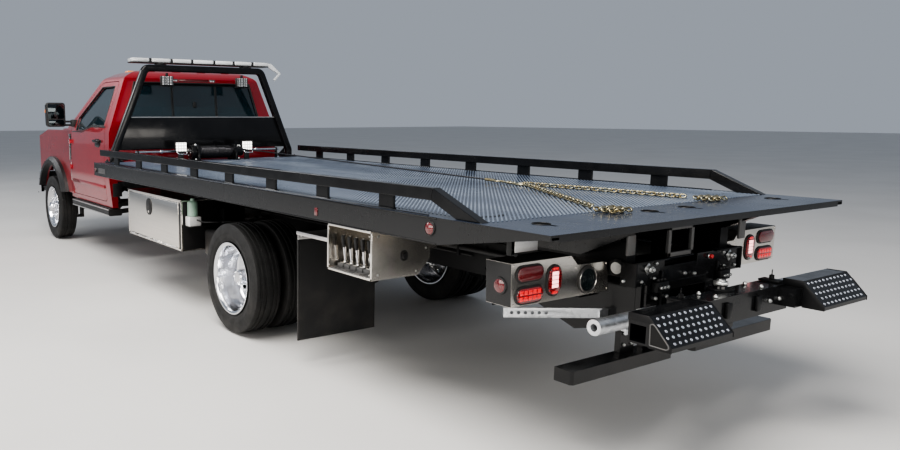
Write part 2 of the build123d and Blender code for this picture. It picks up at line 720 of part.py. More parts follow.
def cab_pieces():
    """The hollow cab, split into floor and firewall, sides, back, roof, doors and glass."""
    inner = cab_form(CAB_WALL)
    well_half = CAB_HALF - 30 - CAB_WALL
    shell = cab_form() - inner - slab(-well_half, well_half, CAB_Y0 - 60, CAB_Y1 + 60, 0, FLOOR_Z0)
    for name, sign in SIDES:
        shell -= on_side(fender_clearance(), sign)
    windscreen_hole = prism_y(windscreen_outline(), CAB_Y0 - 10, CAB_Y1 - 300)
    rear_hole = prism_y(rear_window_outline(), CAB_Y1 - 120, CAB_Y1 + 20, 45)
    above = slab(-FAR, FAR, 0, FAR, ROOF_SPLIT_Z, FAR)
    behind = slab(-FAR, FAR, CAB_Y1 - CAB_WALL - 25, FAR, 0, ROOF_SPLIT_Z)
    ahead = slab(-FAR, FAR, 0, CAB_Y0 + CAB_WALL + 10, 0, COWL_Z + 20)
    ahead += slab(-WINDSCREEN_HALF, WINDSCREEN_HALF, 0, CAB_Y0 + 4 * CAB_WALL, FENDER_TOP_Z, COWL_Z + 20)
    roof = shell & above
    back = (shell & behind) - rear_hole
    firewall = shell & ahead
    sides = shell - above - behind - ahead - windscreen_hole
    floor = inner & slab(-FAR, FAR, 0, FAR, FLOOR_Z0, FLOOR_Z0 + FLOOR_T)
    for x in (-400, 400):
        for y in (900, 1950):
            floor += rod_z(FLOOR_MOUNT_R, RAIL_Z1 + REST_GAP, FLOOR_Z0, x, y)
    doors = {}
    glass = {}
    pane = cab_form(GLASS_INSET) - cab_form(GLASS_INSET + GLASS_T)
    for name, sign in SIDES:
        limits = sorted((sign * CAB_HALF / 2, sign * FAR))
        leaf = sides & prism_x(door_outline(), *limits, DOOR_RADII)
        leaf -= prism_x(window_outline(), *limits, WINDOW_RADII)
        doors[name] = leaf
        glass[name] = pane & prism_x(window_outline(), *limits, WINDOW_RADII)
    sides -= prism_x(door_outline(DOOR_GAP), -FAR, FAR, DOOR_RADII)
    front_pane = pane & windscreen_hole & slab(-FAR, FAR, 0, HEADER_Y + 90, 0, FAR)
    rear_pane = pane & rear_hole & slab(-FAR, FAR, CAB_Y1 - 90, FAR, 0, FAR)
    return roof, back, [firewall, floor], sides, doors, glass, [front_pane, rear_pane]


def door_handle():
    """Pull handle behind a raised cup, and the barrels of the door's two hinges."""
    grip = slab(CAB_HALF - 40, CAB_HALF + 16, 1700, 1865, 1284, 1308)
    for z in (940, 1240):
        grip += rod_z(HINGE_R, z, z + 60, DOOR_AXIS_X, DOOR_AXIS_Y)
        grip += slab(CAB_HALF - 12, DOOR_AXIS_X, DOOR_AXIS_Y + 3, DOOR_Y0 + 20, z + 10, z + 50)
    return grip


def mirror_head():
    """Tall towing mirror on two arms."""
    head = slab(MIRROR_X0, MIRROR_X1, 815, 885, 1440, 1720)
    head = fillet(head.edges().filter_by(Axis.Y), 35)
    for z in (1462, 1502):
        head += rod_x(12, CAB_HALF - 81, MIRROR_X0 + 35, 870, z)
    return head


def cab_interior():
    """Seat box, bench with backrest and headrests, and the dashboard with its steering wheel."""
    floor_z = FLOOR_Z0 + FLOOR_T + REST_GAP
    box = slab(-650, 650, 1520, 1880, floor_z, SEAT_Z0 - REST_GAP)
    cushion = slab(-700, 700, 1460, 1930, SEAT_Z0, SEAT_Z1)
    cushion = fillet(cushion.edges().filter_by(Axis.X), 40)
    backrest = prism_x([
        (1930 + REST_GAP, SEAT_Z0), (2060, SEAT_Z0), (2070, SEAT_TOP_Z), (1980, SEAT_TOP_Z),
        (1930 + REST_GAP, SEAT_Z1),
    ], -700, 700, 25)
    pieces = [box, cushion, backrest]
    for x in (-480, 480):
        pieces.append(slab(x - 130, x + 130, 1970, 2045, SEAT_TOP_Z + REST_GAP, SEAT_TOP_Z + 160))
    firewall_y = CAB_Y0 + CAB_WALL + REST_GAP
    dash = prism_x([
        (firewall_y, 1080), (1000, 1100), (1040, 1250), (960, 1365), (firewall_y, 1365),
    ], -DASH_HALF, DASH_HALF, (0, 40, 40, 40, 0))
    hub = Pos(STEERING_X, STEERING_Y, STEERING_Z) * Rot(STEERING_LEAN, 0, 0)
    wheel = hub * Torus(190, 15) + hub * Box(370, 40, 20)
    column = hub * Pos(0, 0, -125) * Cylinder(28, 250)
    return pieces + [dash + wheel + column]


# Front body

def hood():
    """Pressed lid with a raised middle, and the barrels of its two hinges at the rear."""
    top = [(HOOD_Y1, COWL_Z - 8), (-250, 1405), (HOOD_Y0, NOSE_Z + 20)]
    under = [(y, z - HOOD_T) for y, z in reversed(top)]
    lid = prism_x(top + under, -HOOD_HALF, HOOD_HALF, (0, 900, 12, 0, 900, 0))
    dome = [
        (HOOD_Y1 - 60, COWL_Z - 16), (HOOD_Y1 - 200, COWL_Z + 20), (-250, 1432), (HOOD_Y0 + 60, NOSE_Z + 22),
    ]
    raised = prism_x(dome, -430, 430, (0, 120, 700, 0))
    shape = lid + raised
    for x in (-600, 600):
        barrel = rod_x(HINGE_R, x - 40, x + 40, HOOD_AXIS_Y, HOOD_AXIS_Z)
        shape += barrel + slab(x - 30, x + 30, HOOD_Y1 - 40, HOOD_AXIS_Y, HOOD_AXIS_Z - 3, HOOD_AXIS_Z + 5)
    return shape


def fenders():
    """Front wings: a skin with its return along the hood, open at the arch and the lamp."""
    outline = [
        (FENDER_Y1, SKIRT_Z), (FENDER_Y1, FENDER_TOP_Z), (-250, FENDER_TOP_Z - 5), (NOSE_Y + 60, NOSE_Z),
        (NOSE_Y, NOSE_Z - 60), (NOSE_Y, 820), (-600, 820), (-600, SKIRT_Z),
    ]
    inner = [
        (FENDER_Y1 + 5, CAB_Z0), (FENDER_Y1 + 5, FENDER_TOP_Z - FENDER_T), (-250, FENDER_TOP_Z - 5 - FENDER_T),
        (NOSE_Y + 60, NOSE_Z - FENDER_T), (NOSE_Y + FENDER_T, NOSE_Z - 70), (NOSE_Y + FENDER_T, CAB_Z0),
    ]
    panel = prism_x(outline, FENDER_IN, FENDER_HALF)
    panel -= prism_x(inner, FENDER_IN - 5, FENDER_HALF - FENDER_T)
    panel -= rod_x(ARCH_R, FENDER_IN - 10, FENDER_HALF + 10, 0, AXLE_Z)
    panel -= slab(GRILLE_HALF, LAMP_X1 + REST_GAP, NOSE_Y - 5, NOSE_Y + 130, LAMP_Z0 - REST_GAP, LAMP_Z1 + REST_GAP)
    corner = [(FENDER_HALF + 1, NOSE_Y - 1), (FENDER_HALF + 1, -700), (FENDER_HALF - 35, NOSE_Y - 1)]
    return both(panel - prism_z(corner, 0, CAB_ROOF_Z))


def arch_flares():
    x0 = FENDER_HALF
    x1 = FENDER_HALF + FLARE_REACH
    ring = turned_x([
        (x0, ARCH_R - 8), (x1, ARCH_R - 8), (x1, ARCH_R + FLARE_W * 0.45), (x0 + 40, ARCH_R + FLARE_W),
        (x0, ARCH_R + FLARE_W),
    ], 0, AXLE_Z)
    return both(ring & slab(x0, x1, -FAR, FAR, SKIRT_Z, FAR))


def grille():
    """Grille shell with wide bars across its opening."""
    z0 = RAIL_Z1 + REST_GAP
    z1 = HOOD_LIP_Z - REST_GAP
    opening = (z0 + GRILLE_BORDER, z1 - GRILLE_BORDER)
    half = GRILLE_HALF - GRILLE_BORDER
    frame = slab(-GRILLE_HALF, GRILLE_HALF, NOSE_Y, NOSE_Y + 60, z0, z1)
    frame -= slab(-half, half, NOSE_Y - 5, NOSE_Y + 40, *opening)
    pitch = (opening[1] - opening[0]) / GRILLE_BARS
    for k in range(GRILLE_BARS):
        z = opening[0] + pitch * (k + 0.5)
        frame += slab(-half - 5, half + 5, NOSE_Y + 5, NOSE_Y + 45, z - 22, z + 22)
    return frame


def headlamps():
    lamp = slab(GRILLE_HALF + REST_GAP, LAMP_X1, NOSE_Y + 5, NOSE_Y + 120, LAMP_Z0, LAMP_Z1)
    return both(fillet(lamp.edges().filter_by(Axis.Y), 20))


def front_bumper():
    plan = [
        (-1000, -760), (-1000, -840), (-900, -930), (-600, FRONT_END), (600, FRONT_END),
        (900, -930), (1000, -840), (1000, -760), (960, -760), (880, -880), (590, -915),
        (-590, -915), (-880, -880), (-960, -760),
    ]
    pieces = [prism_z(plan, BUMPER_Z0, BUMPER_Z1)]
    for x in (-400, 400):
        pieces.append(slab(x - 30, x + 30, -915 + REST_GAP, RAIL_Y0 - REST_GAP, 680, 800))
    return pieces


def running_boards():
    """Side steps on three brackets each from the frame."""
    board = slab(BOARD_X0, BOARD_X1, 830, CAB_Y1 - 10, BOARD_Z0, BOARD_Z1)
    pieces = both(fillet(board.edges().filter_by(Axis.Y), 20))
    x0 = RAIL_OUT_X + REST_GAP
    x1 = BOARD_X0 - REST_GAP
    for y in (950, 1500, 2050):
        bracket = prism_y([(x0, 670), (x0, 720), (620, 595), (x1, 575), (x1, 530), (600, 545)], y, y + 50)
        pieces += both(bracket)
    return pieces


# Bed

def channel_outline(inset=0.0):
    """Side view of a side channel; inset gives the hollow inside its flanges, open at both ends."""
    bottom = DECK_Z - CHANNEL_H + inset
    over = 1.0 if inset else 0.0
    top = DECK_Z - DECK_T - REST_GAP
    return [
        (BED_Y0 - over, bottom), (CHANNEL_RISE_Y, bottom), (BED_Y1 - 40, DECK_Z - TAIL_EDGE + inset * 0.5),
        (BED_Y1 + over, DECK_Z - TAIL_EDGE + inset * 0.5), (BED_Y1 + over, top - inset * 0.5),
        (BED_Y0 - over, top - inset * 0.5),
    ]


def bed_deck():
    deck = slab(-BED_HALF, BED_HALF, BED_Y0, BED_Y1, DECK_Z - DECK_T, DECK_Z)
    for x, y in KEYHOLES:
        hole = rod_z(KEYHOLE_R, DECK_Z - 20, DECK_Z + 20, x, y)
        hole += slab(x - KEYHOLE_SLOT / 2, x + KEYHOLE_SLOT / 2, y, y + KEYHOLE_LEN, DECK_Z - 20, DECK_Z + 20)
        deck = deck - hole - mirrored(hole)
    return deck


def bed_frame():
    """Side channels, crossmembers, runners on the subframe and the bar under the tail edge."""
    channel = prism_x(channel_outline(), BED_HALF - CHANNEL_FLANGE, BED_HALF)
    channel -= prism_x(channel_outline(CHANNEL_T), BED_HALF - CHANNEL_FLANGE - 1, BED_HALF - CHANNEL_T)
    pieces = both(channel)
    top = DECK_Z - DECK_T - REST_GAP
    outer = BED_HALF - CHANNEL_FLANGE - REST_GAP
    # Each crossmember is in three lengths, between the channels and the runners
    spans = ((-outer, -RUNNER_X1 - REST_GAP), (-RUNNER_X0 + REST_GAP, RUNNER_X0 - REST_GAP), (RUNNER_X1 + REST_GAP, outer))
    y = BED_Y0 + 20
    while y < CHANNEL_RISE_Y:
        for x0, x1 in spans:
            pieces.append(slab(x0, x1, y, y + CROSSMEMBER_W, CROSSMEMBER_Z0, top))
        y += CROSSMEMBER_PITCH
    bar_y0 = BED_Y1 - TAIL_BAR_W
    pieces.append(slab(-outer, outer, bar_y0, BED_Y1, DECK_Z - 32, top))
    # A square socket for a towing ball hangs under the tail
    t = SOCKET_T
    for x in (SOCKET_X0, SOCKET_X1 - t):
        pieces.append(slab(x, x + t, SOCKET_Y0, SOCKET_Y1, SOCKET_Z0 + t + REST_GAP, top))
    pieces.append(slab(SOCKET_X0, SOCKET_X1, SOCKET_Y0, SOCKET_Y1, SOCKET_Z0, SOCKET_Z0 + t))
    x0 = SOCKET_X0 + t + REST_GAP
    pieces.append(slab(x0, SOCKET_X1 - t - REST_GAP, SOCKET_Y0, SOCKET_Y1, SOCKET_Z1 - t, SOCKET_Z1))
    runner = [
        (BED_Y0 + 20, RUNNER_Z0), (RUNNER_RISE_Y, RUNNER_Z0), (bar_y0 - REST_GAP, DECK_Z - 40),
        (bar_y0 - REST_GAP, top), (BED_Y0 + 20, top),
    ]
    return pieces + both(prism_x(runner, RUNNER_X0, RUNNER_X1))


def side_rails():
    """Square tube rails on flat posts, sloping down to the deck at the tail."""
    z1 = SIDE_RAIL_TOP_Z
    z0 = z1 - SIDE_RAIL_H
    deck = DECK_Z + REST_GAP
    drop = (z1 - deck) / (SIDE_RAIL_END_Y - SIDE_RAIL_SLOPE_Y)
    inner_end = SIDE_RAIL_SLOPE_Y - 12 + (z0 - deck) / drop
    front = RACK_Y + RACK_TUBE / 2 + REST_GAP
    x0 = SIDE_RAIL_X - SIDE_RAIL_W / 2
    x1 = SIDE_RAIL_X + SIDE_RAIL_W / 2
    joint = SIDE_RAIL_SLOPE_Y - REST_GAP
    pieces = both(prism_x([(front, z0), (front, z1), (joint, z1), (joint - 12, z0)], x0, x1))
    pieces += both(prism_x([
        (SIDE_RAIL_SLOPE_Y - 12, z0), (SIDE_RAIL_SLOPE_Y, z1), (SIDE_RAIL_END_Y, deck), (inner_end, deck),
    ], x0, x1))
    half = SIDE_POST_T / 2
    for k in range(SIDE_POSTS):
        y0 = SIDE_POST_Y0 + k * SIDE_POST_PITCH - SIDE_POST_L / 2
        pieces += both(slab(SIDE_RAIL_X - half, SIDE_RAIL_X + half, y0, y0 + SIDE_POST_L, deck, z0 - REST_GAP))
    return pieces


def headache_rack():
    """Square tube hoop over the bed's front end, with a closed panel low down."""
    z0 = DECK_Z + REST_GAP
    outside = [(RACK_FOOT_X, z0), (RACK_FOOT_X, RACK_KNEE_Z), (RACK_TOP_X, RACK_TOP_Z)]
    inside = [(RACK_FOOT_X - RACK_TUBE, z0), (RACK_FOOT_X - RACK_TUBE, RACK_KNEE_Z - 20),
              (RACK_TOP_X - RACK_TUBE * 0.75, RACK_TOP_Z - RACK_TUBE)]
    loop = outside + [(-x, z) for x, z in reversed(outside)] + [(-x, z) for x, z in inside] + list(reversed(inside))
    hoop = prism_y(loop, RACK_Y - RACK_TUBE / 2, RACK_Y + RACK_TUBE / 2)
    lean = (RACK_FOOT_X - RACK_TOP_X) / (RACK_TOP_Z - RACK_KNEE_Z)
    edge = RACK_FOOT_X - RACK_TUBE / 2
    low = edge - lean * (PANEL_Z0 - RACK_KNEE_Z)
    high = edge - lean * (PANEL_Z1 - RACK_KNEE_Z)
    panel = prism_y([(-low, PANEL_Z0), (low, PANEL_Z0), (high, PANEL_Z1), (-high, PANEL_Z1)],
                    RACK_Y - PANEL_T / 2, RACK_Y + PANEL_T / 2)
    return hoop + panel


def bed_lamps():
    """Light bar above the rack, work lamps under its top tube, lamps at the winch."""
    bar = slab(-BAR_HALF, BAR_HALF, 2230, 2380, BAR_Z0, BAR_Z1)
    bar = fillet(bar.edges().filter_by(Axis.Z), 60)
    for x in (-500, 500):
        bar += slab(x - 30, x + 30, 2300, 2420, RACK_TOP_Z + REST_GAP, BAR_Z0 + 2)
    pieces = [bar]
    under = RACK_TOP_Z - RACK_TUBE - REST_GAP
    for x in (-WORK_LAMP_X, WORK_LAMP_X):
        lamp = slab(x - 70, x + 70, 2380, 2430, 1885, 1978)
        pieces.append(lamp + slab(x - 12, x + 12, 2395, 2415, 1978, under))
    deck = DECK_Z + REST_GAP
    for x in (-WINCH_LAMP_X, WINCH_LAMP_X):
        lamp = slab(x - WINCH_LAMP_HALF, x + WINCH_LAMP_HALF, 2580, 2620, TENSION_ROD_Z, TENSION_ROD_Z + 100)
        pieces.append(lamp + slab(x - 30, x + 30, 2590, 2610, deck, TENSION_ROD_Z))
    return pieces


def winch():
    """Drum between side plates, with gearbox, motor and the polished rod of the cable tensioner."""
    deck = DECK_Z + REST_GAP
    drum = rod_x(DRUM_R, -DRUM_HALF - 5, DRUM_HALF + 5, WINCH_Y, WINCH_Z)
    for x in (-DRUM_HALF - 12, DRUM_HALF):
        drum += rod_x(FLANGE_R, x, x + 12, WINCH_Y, WINCH_Z)
    for x in (-DRUM_HALF - 40, DRUM_HALF + 10):
        drum += slab(x, x + 30, WINCH_Y - 100, WINCH_Y + 100, deck, WINCH_Z + 85)
    drum += rod_x(78, DRUM_HALF + 39, DRUM_HALF + 90, WINCH_Y, WINCH_Z)
    drum += rod_x(55, -DRUM_HALF - 125, -DRUM_HALF - 39, WINCH_Y, WINCH_Z)
    drum += rod_x(12, -850, 850, TENSION_ROD_Y, TENSION_ROD_Z)
    for x in (-820, 820):
        drum += slab(x - 10, x + 10, TENSION_ROD_Y - 15, TENSION_ROD_Y + 15, deck, TENSION_ROD_Z + 16)
    for x in (-560, 560):
        drum += rod_x(20, x - 15, x + 15, TENSION_ROD_Y, TENSION_ROD_Z)
    return drum


def winch_cable():
    start = (0, WINCH_Y, WINCH_Z + DRUM_R + CABLE_R + REST_GAP)
    return straight_rod(CABLE_R, start, CABLE_END)


def chain_link(width=LINK_W):
    """One link lying flat about the origin, its length along X, of square wire."""
    half_l = LINK_L / 2
    half_w = width / 2
    corner = half_w * 0.55
    outer = [
        (half_l, corner), (half_l - corner, half_w), (corner - half_l, half_w), (-half_l, corner),
        (-half_l, -corner), (corner - half_l, -half_w), (half_l - corner, -half_w), (half_l, -corner),
    ]
    inner_l = half_l - WIRE
    inner_w = half_w - WIRE
    notch = inner_w * 0.5
    inner = [
        (inner_l, notch), (inner_l - notch, inner_w), (notch - inner_l, inner_w), (-inner_l, notch),
        (-inner_l, -notch), (notch - inner_l, -inner_w), (inner_l - notch, -inner_w), (inner_l, -notch),
    ]
    ring = prism_z(outer, -WIRE / 2, WIRE / 2)
    return ring - prism_z(inner, -WIRE, WIRE)


def chain_row(link, start, heading, count):
    """Links in line from a point, each turned a quarter from the last about the chain's line."""
    row = []
    for k in range(count):
        lean = 45 if k % 2 else -45
        place = Pos(start[0], start[1], CHAIN_Z) * Rot(0, 0, heading) * Pos(LINK_PITCH * k, 0, 0)
        row.append(place * Rot(lean, 0, 0) * link)
    return row


def tie_chain():
    """The pear link, two chain legs on the deck, and what is left of each leg heaped at its end."""
    link = chain_link()
    pear = prism_z([(0, 0), (46, 34), (46, 98), (18, 118), (-18, 118), (-46, 98), (-46, 34)], -8, 8, 8)
    pear -= prism_z([(0, 26), (26, 44), (26, 90), (10, 100), (-10, 100), (-26, 90), (-26, 44)], -9, 9, 6)
    pieces = [Pos(HOOK_LINK[0], HOOK_LINK[1] - 40, DECK_Z + 8 + REST_GAP) * pear]
    for x0, y0, x1, y1 in CHAIN_RUNS:
        heading = math.degrees(math.atan2(y1 - y0, x1 - x0))
        count = int(math.hypot(x1 - x0, y1 - y0) / LINK_PITCH)
        pieces += chain_row(link, (x0, y0), heading, count)
    for x, y in CHAIN_HEAPS:
        for row in range(HEAP_ROWS):
            offset = (row - (HEAP_ROWS - 1) / 2) * HEAP_PITCH
            pieces += chain_row(link, (x - LINK_PITCH * HEAP_LINKS / 2, y + offset), 0, HEAP_LINKS)
    return pieces


# Tilting subframe and its cylinders

def subframe():
    """Two rails with hinge lugs, cross plates, wear pads, and the slide cylinder's barrel on saddles."""
    rail = slab(SUB_X0, SUB_X1, SUB_Y0, SUB_Y1, SUB_Z0, SUB_Z1)
    rail += slab(SUB_X0, SUB_X1, HINGE_Y - 60, HINGE_Y + 40, HINGE_Z - 45, SUB_Z0)
    rail -= rod_x(HINGE_PIN_R + BEARING_GAP, SUB_X0 - 5, SUB_X1 + 5, HINGE_Y, HINGE_Z)
    eye_y, eye_z = TILT_HIGH
    rail += slab(EAR_X0, SUB_X0 + 5, eye_y - 40, eye_y + 40, SUB_Z0 + 24, SUB_Z0 + 46)
    rail += slab(EAR_X0, EAR_X0 + EAR_T, eye_y - 40, eye_y + 40, eye_z - 34, SUB_Z0 + 46)
    pieces = both(rail)
    inner = SUB_X0 - REST_GAP
    for y in PAD_YS:
        pieces += both(slab(SUB_X0 + 4, SUB_X1 - 4, y, y + PAD_L, SUB_Z1 + REST_GAP, CROSSMEMBER_Z0 - REST_GAP))
    for y in SUB_CROSS_YS:
        pieces.append(slab(-inner, inner, y, y + SUB_CROSS_L, SUB_Z0, SUB_Z0 + SUB_CROSS_T))
    barrel = rod_y(BARREL_R, BARREL_Y0, BARREL_Y1, 0, BARREL_Z)
    for y in BARREL_SADDLE_YS:
        saddle_z = SUB_Z0 + SUB_CROSS_T if y in SUB_CROSS_YS else SUB_Z0
        barrel += slab(-60, 60, y, y + SUB_CROSS_L, saddle_z + REST_GAP, BARREL_Z)
        if y not in SUB_CROSS_YS:
            barrel += slab(-inner, inner, y, y + SUB_CROSS_L, SUB_Z0, SUB_Z0 + SUB_CROSS_T)
    barrel -= rod_y(BARREL_BORE, BARREL_Y0 + 30, BARREL_Y1 - PISTON_L, 0, BARREL_Z)
    barrel -= rod_y(ROD_R + BEARING_GAP, BARREL_Y1 - PISTON_L - 10, BARREL_Y1 + 5, 0, BARREL_Z)
    return pieces + [barrel]


def slide_rod():
    piston_y = BARREL_Y0 + 30 + MOVING_GAP
    rod = rod_y(ROD_R, piston_y, ROD_EYE_Y, 0, BARREL_Z)
    rod += rod_y(BARREL_BORE - BEARING_GAP, piston_y, piston_y + PISTON_L, 0, BARREL_Z)
    y0 = ROD_EYE_Y - ROD_EYE_HALF
    y1 = ROD_EYE_Y + ROD_EYE_HALF
    return rod + slab(-ROD_EYE_HALF, ROD_EYE_HALF, y0, y1, BARREL_Z - ROD_EYE_HALF, CROSSMEMBER_Z0 - REST_GAP)


def tilt_axis():
    """Length and slope of a tilt cylinder from its lower pin to its upper one."""
    y0, z0 = TILT_LOW
    y1, z1 = TILT_HIGH
    return math.hypot(y1 - y0, z1 - z0), math.degrees(math.atan2(z1 - z0, y1 - y0))


def along_tilt(shape):
    """Place a piece modelled along +Y from the lower pin onto the cylinder's line."""
    y0, z0 = TILT_LOW
    return Pos(TILT_X, y0, z0) * Rot(tilt_axis()[1], 0, 0) * shape


def tilt_barrel():
    end = TILT_BARREL_L
    barrel = rod_y(TILT_BARREL_R, TILT_BARREL_R - 2, end, 0, 0)
    barrel -= rod_y(TILT_BORE_R, 80, end - 50, 0, 0)
    barrel -= rod_y(TILT_ROD_R + BEARING_GAP, end - 60, end + 5, 0, 0)
    barrel += rod_x(TILT_BARREL_R, -30, 30, 0, 0)
    barrel -= rod_x(TILT_PIN_R + BEARING_GAP, -40, 40, 0, 0)
    return along_tilt(barrel)


def tilt_rod():
    """Rod with piston; its eye carries a pin whose end stops just short of the subframe's ear."""
    length = tilt_axis()[0]
    rod = rod_y(TILT_ROD_R, 420, length - 30, 0, 0)
    rod += rod_y(TILT_BORE_R - BEARING_GAP, 400, 440, 0, 0)
    rod += rod_x(TILT_ROD_R + 20, -TILT_EYE_HALF, TILT_EYE_HALF, length, 0)
    rod += rod_x(TILT_PIN_R, -TILT_EYE_HALF - 8, EAR_X0 - TILT_X - REST_GAP, length, 0)
    return along_tilt(rod)


# Tail of the chassis

def tail_frame():
    """Hinge plates and pin, rear plate, under-ride bars, and brackets for the cylinders and the lift."""
    tips = RAIL_OUT_X - RAIL_FLANGE - REST_GAP
    webs = RAIL_OUT_X - RAIL_T - REST_GAP
    plate = prism_x([
        (7300, RAIL_Z1), (7300, 560), (7560, 470), (7900, 560), (7900, HINGE_Z + 30), (7820, HINGE_Z + 40),
        (7700, RAIL_Z1),
    ], HINGE_PLATE_X0, tips)
    plate -= rod_x(HINGE_PIN_R + BEARING_GAP, HINGE_PLATE_X0 - 5, tips + 5, HINGE_Y, HINGE_Z)
    pieces = both(plate)
    pieces.append(rod_x(HINGE_PIN_R, -RAIL_OUT_X - 4, RAIL_OUT_X + 4, HINGE_Y, HINGE_Z))
    inside = HINGE_PLATE_X0 - REST_GAP
    pieces.append(slab(-inside, inside, 7600, 7660, 740, 820))
    # The rear plate leaves room below for the lift's boom and above for the bed's rod and socket
    back_y = TAIL_PLATE_Y + TAIL_PLATE_T
    step = TAIL_PLATE_STEP_Z + REST_GAP
    notch_x1 = SOCKET_X1 + 20
    boxes = [
        (-TAIL_PLATE_HALF, -60 - REST_GAP, step, TAIL_PLATE_Z1),
        (-60, notch_x1, step, TAIL_NOTCH_Z),
        (notch_x1 + REST_GAP, TAIL_PLATE_HALF, step, TAIL_PLATE_Z1),
        (-TAIL_PLATE_LOW_HALF, TAIL_PLATE_LOW_HALF, 730, TAIL_PLATE_STEP_Z),
        (150, TAIL_PLATE_LOW_HALF, TAIL_PLATE_Z0, 730 - REST_GAP),
        (-TAIL_PLATE_LOW_HALF, -150, TAIL_PLATE_Z0, 730 - REST_GAP),
    ]
    for x0, x1, z0, z1 in boxes:
        pieces.append(slab(x0, x1, TAIL_PLATE_Y, back_y, z0, z1))
    pieces += both(slab(HINGE_PLATE_X0 + 10, tips, 7900 + REST_GAP, TAIL_PLATE_Y - REST_GAP, 620, 800))
    for sign in (1, -1):
        bar = slab(GUARD_X0, GUARD_X1, GUARD_Y0, GUARD_Y1, GUARD_Z0, GUARD_Z1)
        bar = chamfer(bar.edges().filter_by(Axis.Z).sort_by(Axis.Y)[-2:], 12)
        bar -= slab(GUARD_X0 + 8, GUARD_X1 - 8, GUARD_Y0 - 5, GUARD_Y1 - 20, GUARD_Z0 + 8, GUARD_Z1 - 8)
        pieces.append(on_side(bar, sign))
        for x0, x1 in GUARD_POSTS:
            top = 600 if x1 > tips else TAIL_PLATE_Z0
            post = slab(x0, x1, GUARD_Y0 + 10, GUARD_Y0 + 40, GUARD_Z1 + REST_GAP, 640)
            pieces.append(on_side(post - slab(HINGE_PLATE_X0 - 5, FAR, 0, 7900 + REST_GAP, top, FAR), sign))
    pivot_y, pivot_z = LIFT_PIVOT
    side = BOOM_HALF + MOVING_GAP
    hanger = slab(side, side + 34, pivot_y - 60, pivot_y + 60, pivot_z - 50, CROSS_Z + 10)
    lift = rod_x(40, -webs, webs, pivot_y, CROSS_Z) + hanger + mirrored(hanger)
    lift += rod_x(LIFT_PIN_R, -side - 24, side + 24, pivot_y, pivot_z)
    pieces.append(lift)
    low_y, low_z = TILT_LOW
    bracket = slab(TILT_X + 47, tips, low_y - 40, low_y + 40, low_z - 30, 800)
    bracket += rod_x(TILT_PIN_R, TILT_X - 50, TILT_X + 50, low_y, low_z)
    return pieces + both(bracket)


def tail_panels():
    """Formed panels that carry the tail lamps, on arms from the frame."""
    outline = [(1114, 929), (717, 927), (667, 879), (445, 875), (431, 728), (1107, 731)]
    hollow = [(1104, 919), (722, 917), (672, 869), (455, 865), (442, 738), (1097, 741)]
    panel = prism_y(outline, PANEL_Y0, PANEL_Y1) - prism_y(hollow, PANEL_Y0 - 10, PANEL_Y1 - 5)
    panel += slab(RAIL_OUT_X + REST_GAP, 480, 7560, PANEL_Y0 + 10, 760, 800)
    return both(panel)


def tail_lamps():
    pieces = []
    lens_y = PANEL_Y1 + REST_GAP
    for x, z, w, h in OVAL_LAMPS:
        lamp = slab(x - w / 2, x + w / 2, lens_y, lens_y + LAMP_T, z - h / 2, z + h / 2)
        lamp = fillet(lamp.edges().filter_by(Axis.Y), min(w, h) / 2 - 1)
        pieces.extend(both(lamp))
    x, z = BACKUP_LAMP
    pieces.extend(both(rod_y(BACKUP_LAMP_R, lens_y, lens_y + LAMP_T - 4, x, z)))
    pieces.extend(both(rod_x(SIDE_MARKER_R, SIDE_MARKER_X, SIDE_MARKER_X + 12, PANEL_Y0 + 75, 824)))
    return pieces


def stowed_bar():
    """A perforated galvanised bar hung from the hinge plate, behind the lamp panel."""
    x0, y0 = STOWED_OUT
    x1, y1 = STOWED_IN
    length = math.hypot(x1 - x0, y1 - y0)
    heading = math.degrees(math.atan2(y1 - y0, x1 - x0))
    bar = slab(0, length, -STOWED_T / 2, STOWED_T / 2, -STOWED_W / 2, STOWED_W / 2)
    for k in range(STOWED_HOLES):
        bar -= rod_y(STOWED_HOLE_R, -STOWED_T, STOWED_T, 40 + 34 * k, 0)
    bar = Pos(x0, y0, STOWED_Z) * Rot(0, 0, heading) * bar
    plate = RAIL_OUT_X - RAIL_FLANGE
    return both(bar + slab(plate, x1 + 20, y1 - 20, y1 + 6, STOWED_Z - 18, STOWED_Z + 18))


# Boxes under the bed

def toolbox():
    """Sheet metal box hung on two brackets, with the barrel of its door hinge along the lower lip."""
    t = BOX_T
    box = slab(BOX_X0, BOX_X1, BOX_Y0, BOX_Y1, BOX_Z0, BOX_Z1)
    box -= slab(BOX_X0 + t, BOX_X1 + 10, BOX_Y0 + t, BOX_Y1 - t, BOX_Z0 + t, BOX_Z1 - t)
    for y in (BOX_Y0 + 130, BOX_Y1 - 170):
        box += slab(RAIL_OUT_X + REST_GAP, BOX_X0 + 1, y, y + 40, BOX_BRACKET_Z, BOX_BRACKET_Z + 40)
    y0 = BOX_Y0 + 60
    y1 = BOX_Y1 - 60
    box += slab(BOX_X1 - 1, BOX_X1 + BOX_HINGE_R, y0, y1, BOX_Z0 + 3, BOX_Z0 + t)
    return box + rod_y(BOX_HINGE_R, y0, y1, BOX_X1 + 7.5, BOX_Z0 + t + 3)


def toolbox_door():
    t = BOX_T + BOX_DOOR_GAP
    return slab(BOX_X1 - 8, BOX_X1 + 2, BOX_Y0 + t, BOX_Y1 - t, BOX_Z0 + t, BOX_Z1 - t)


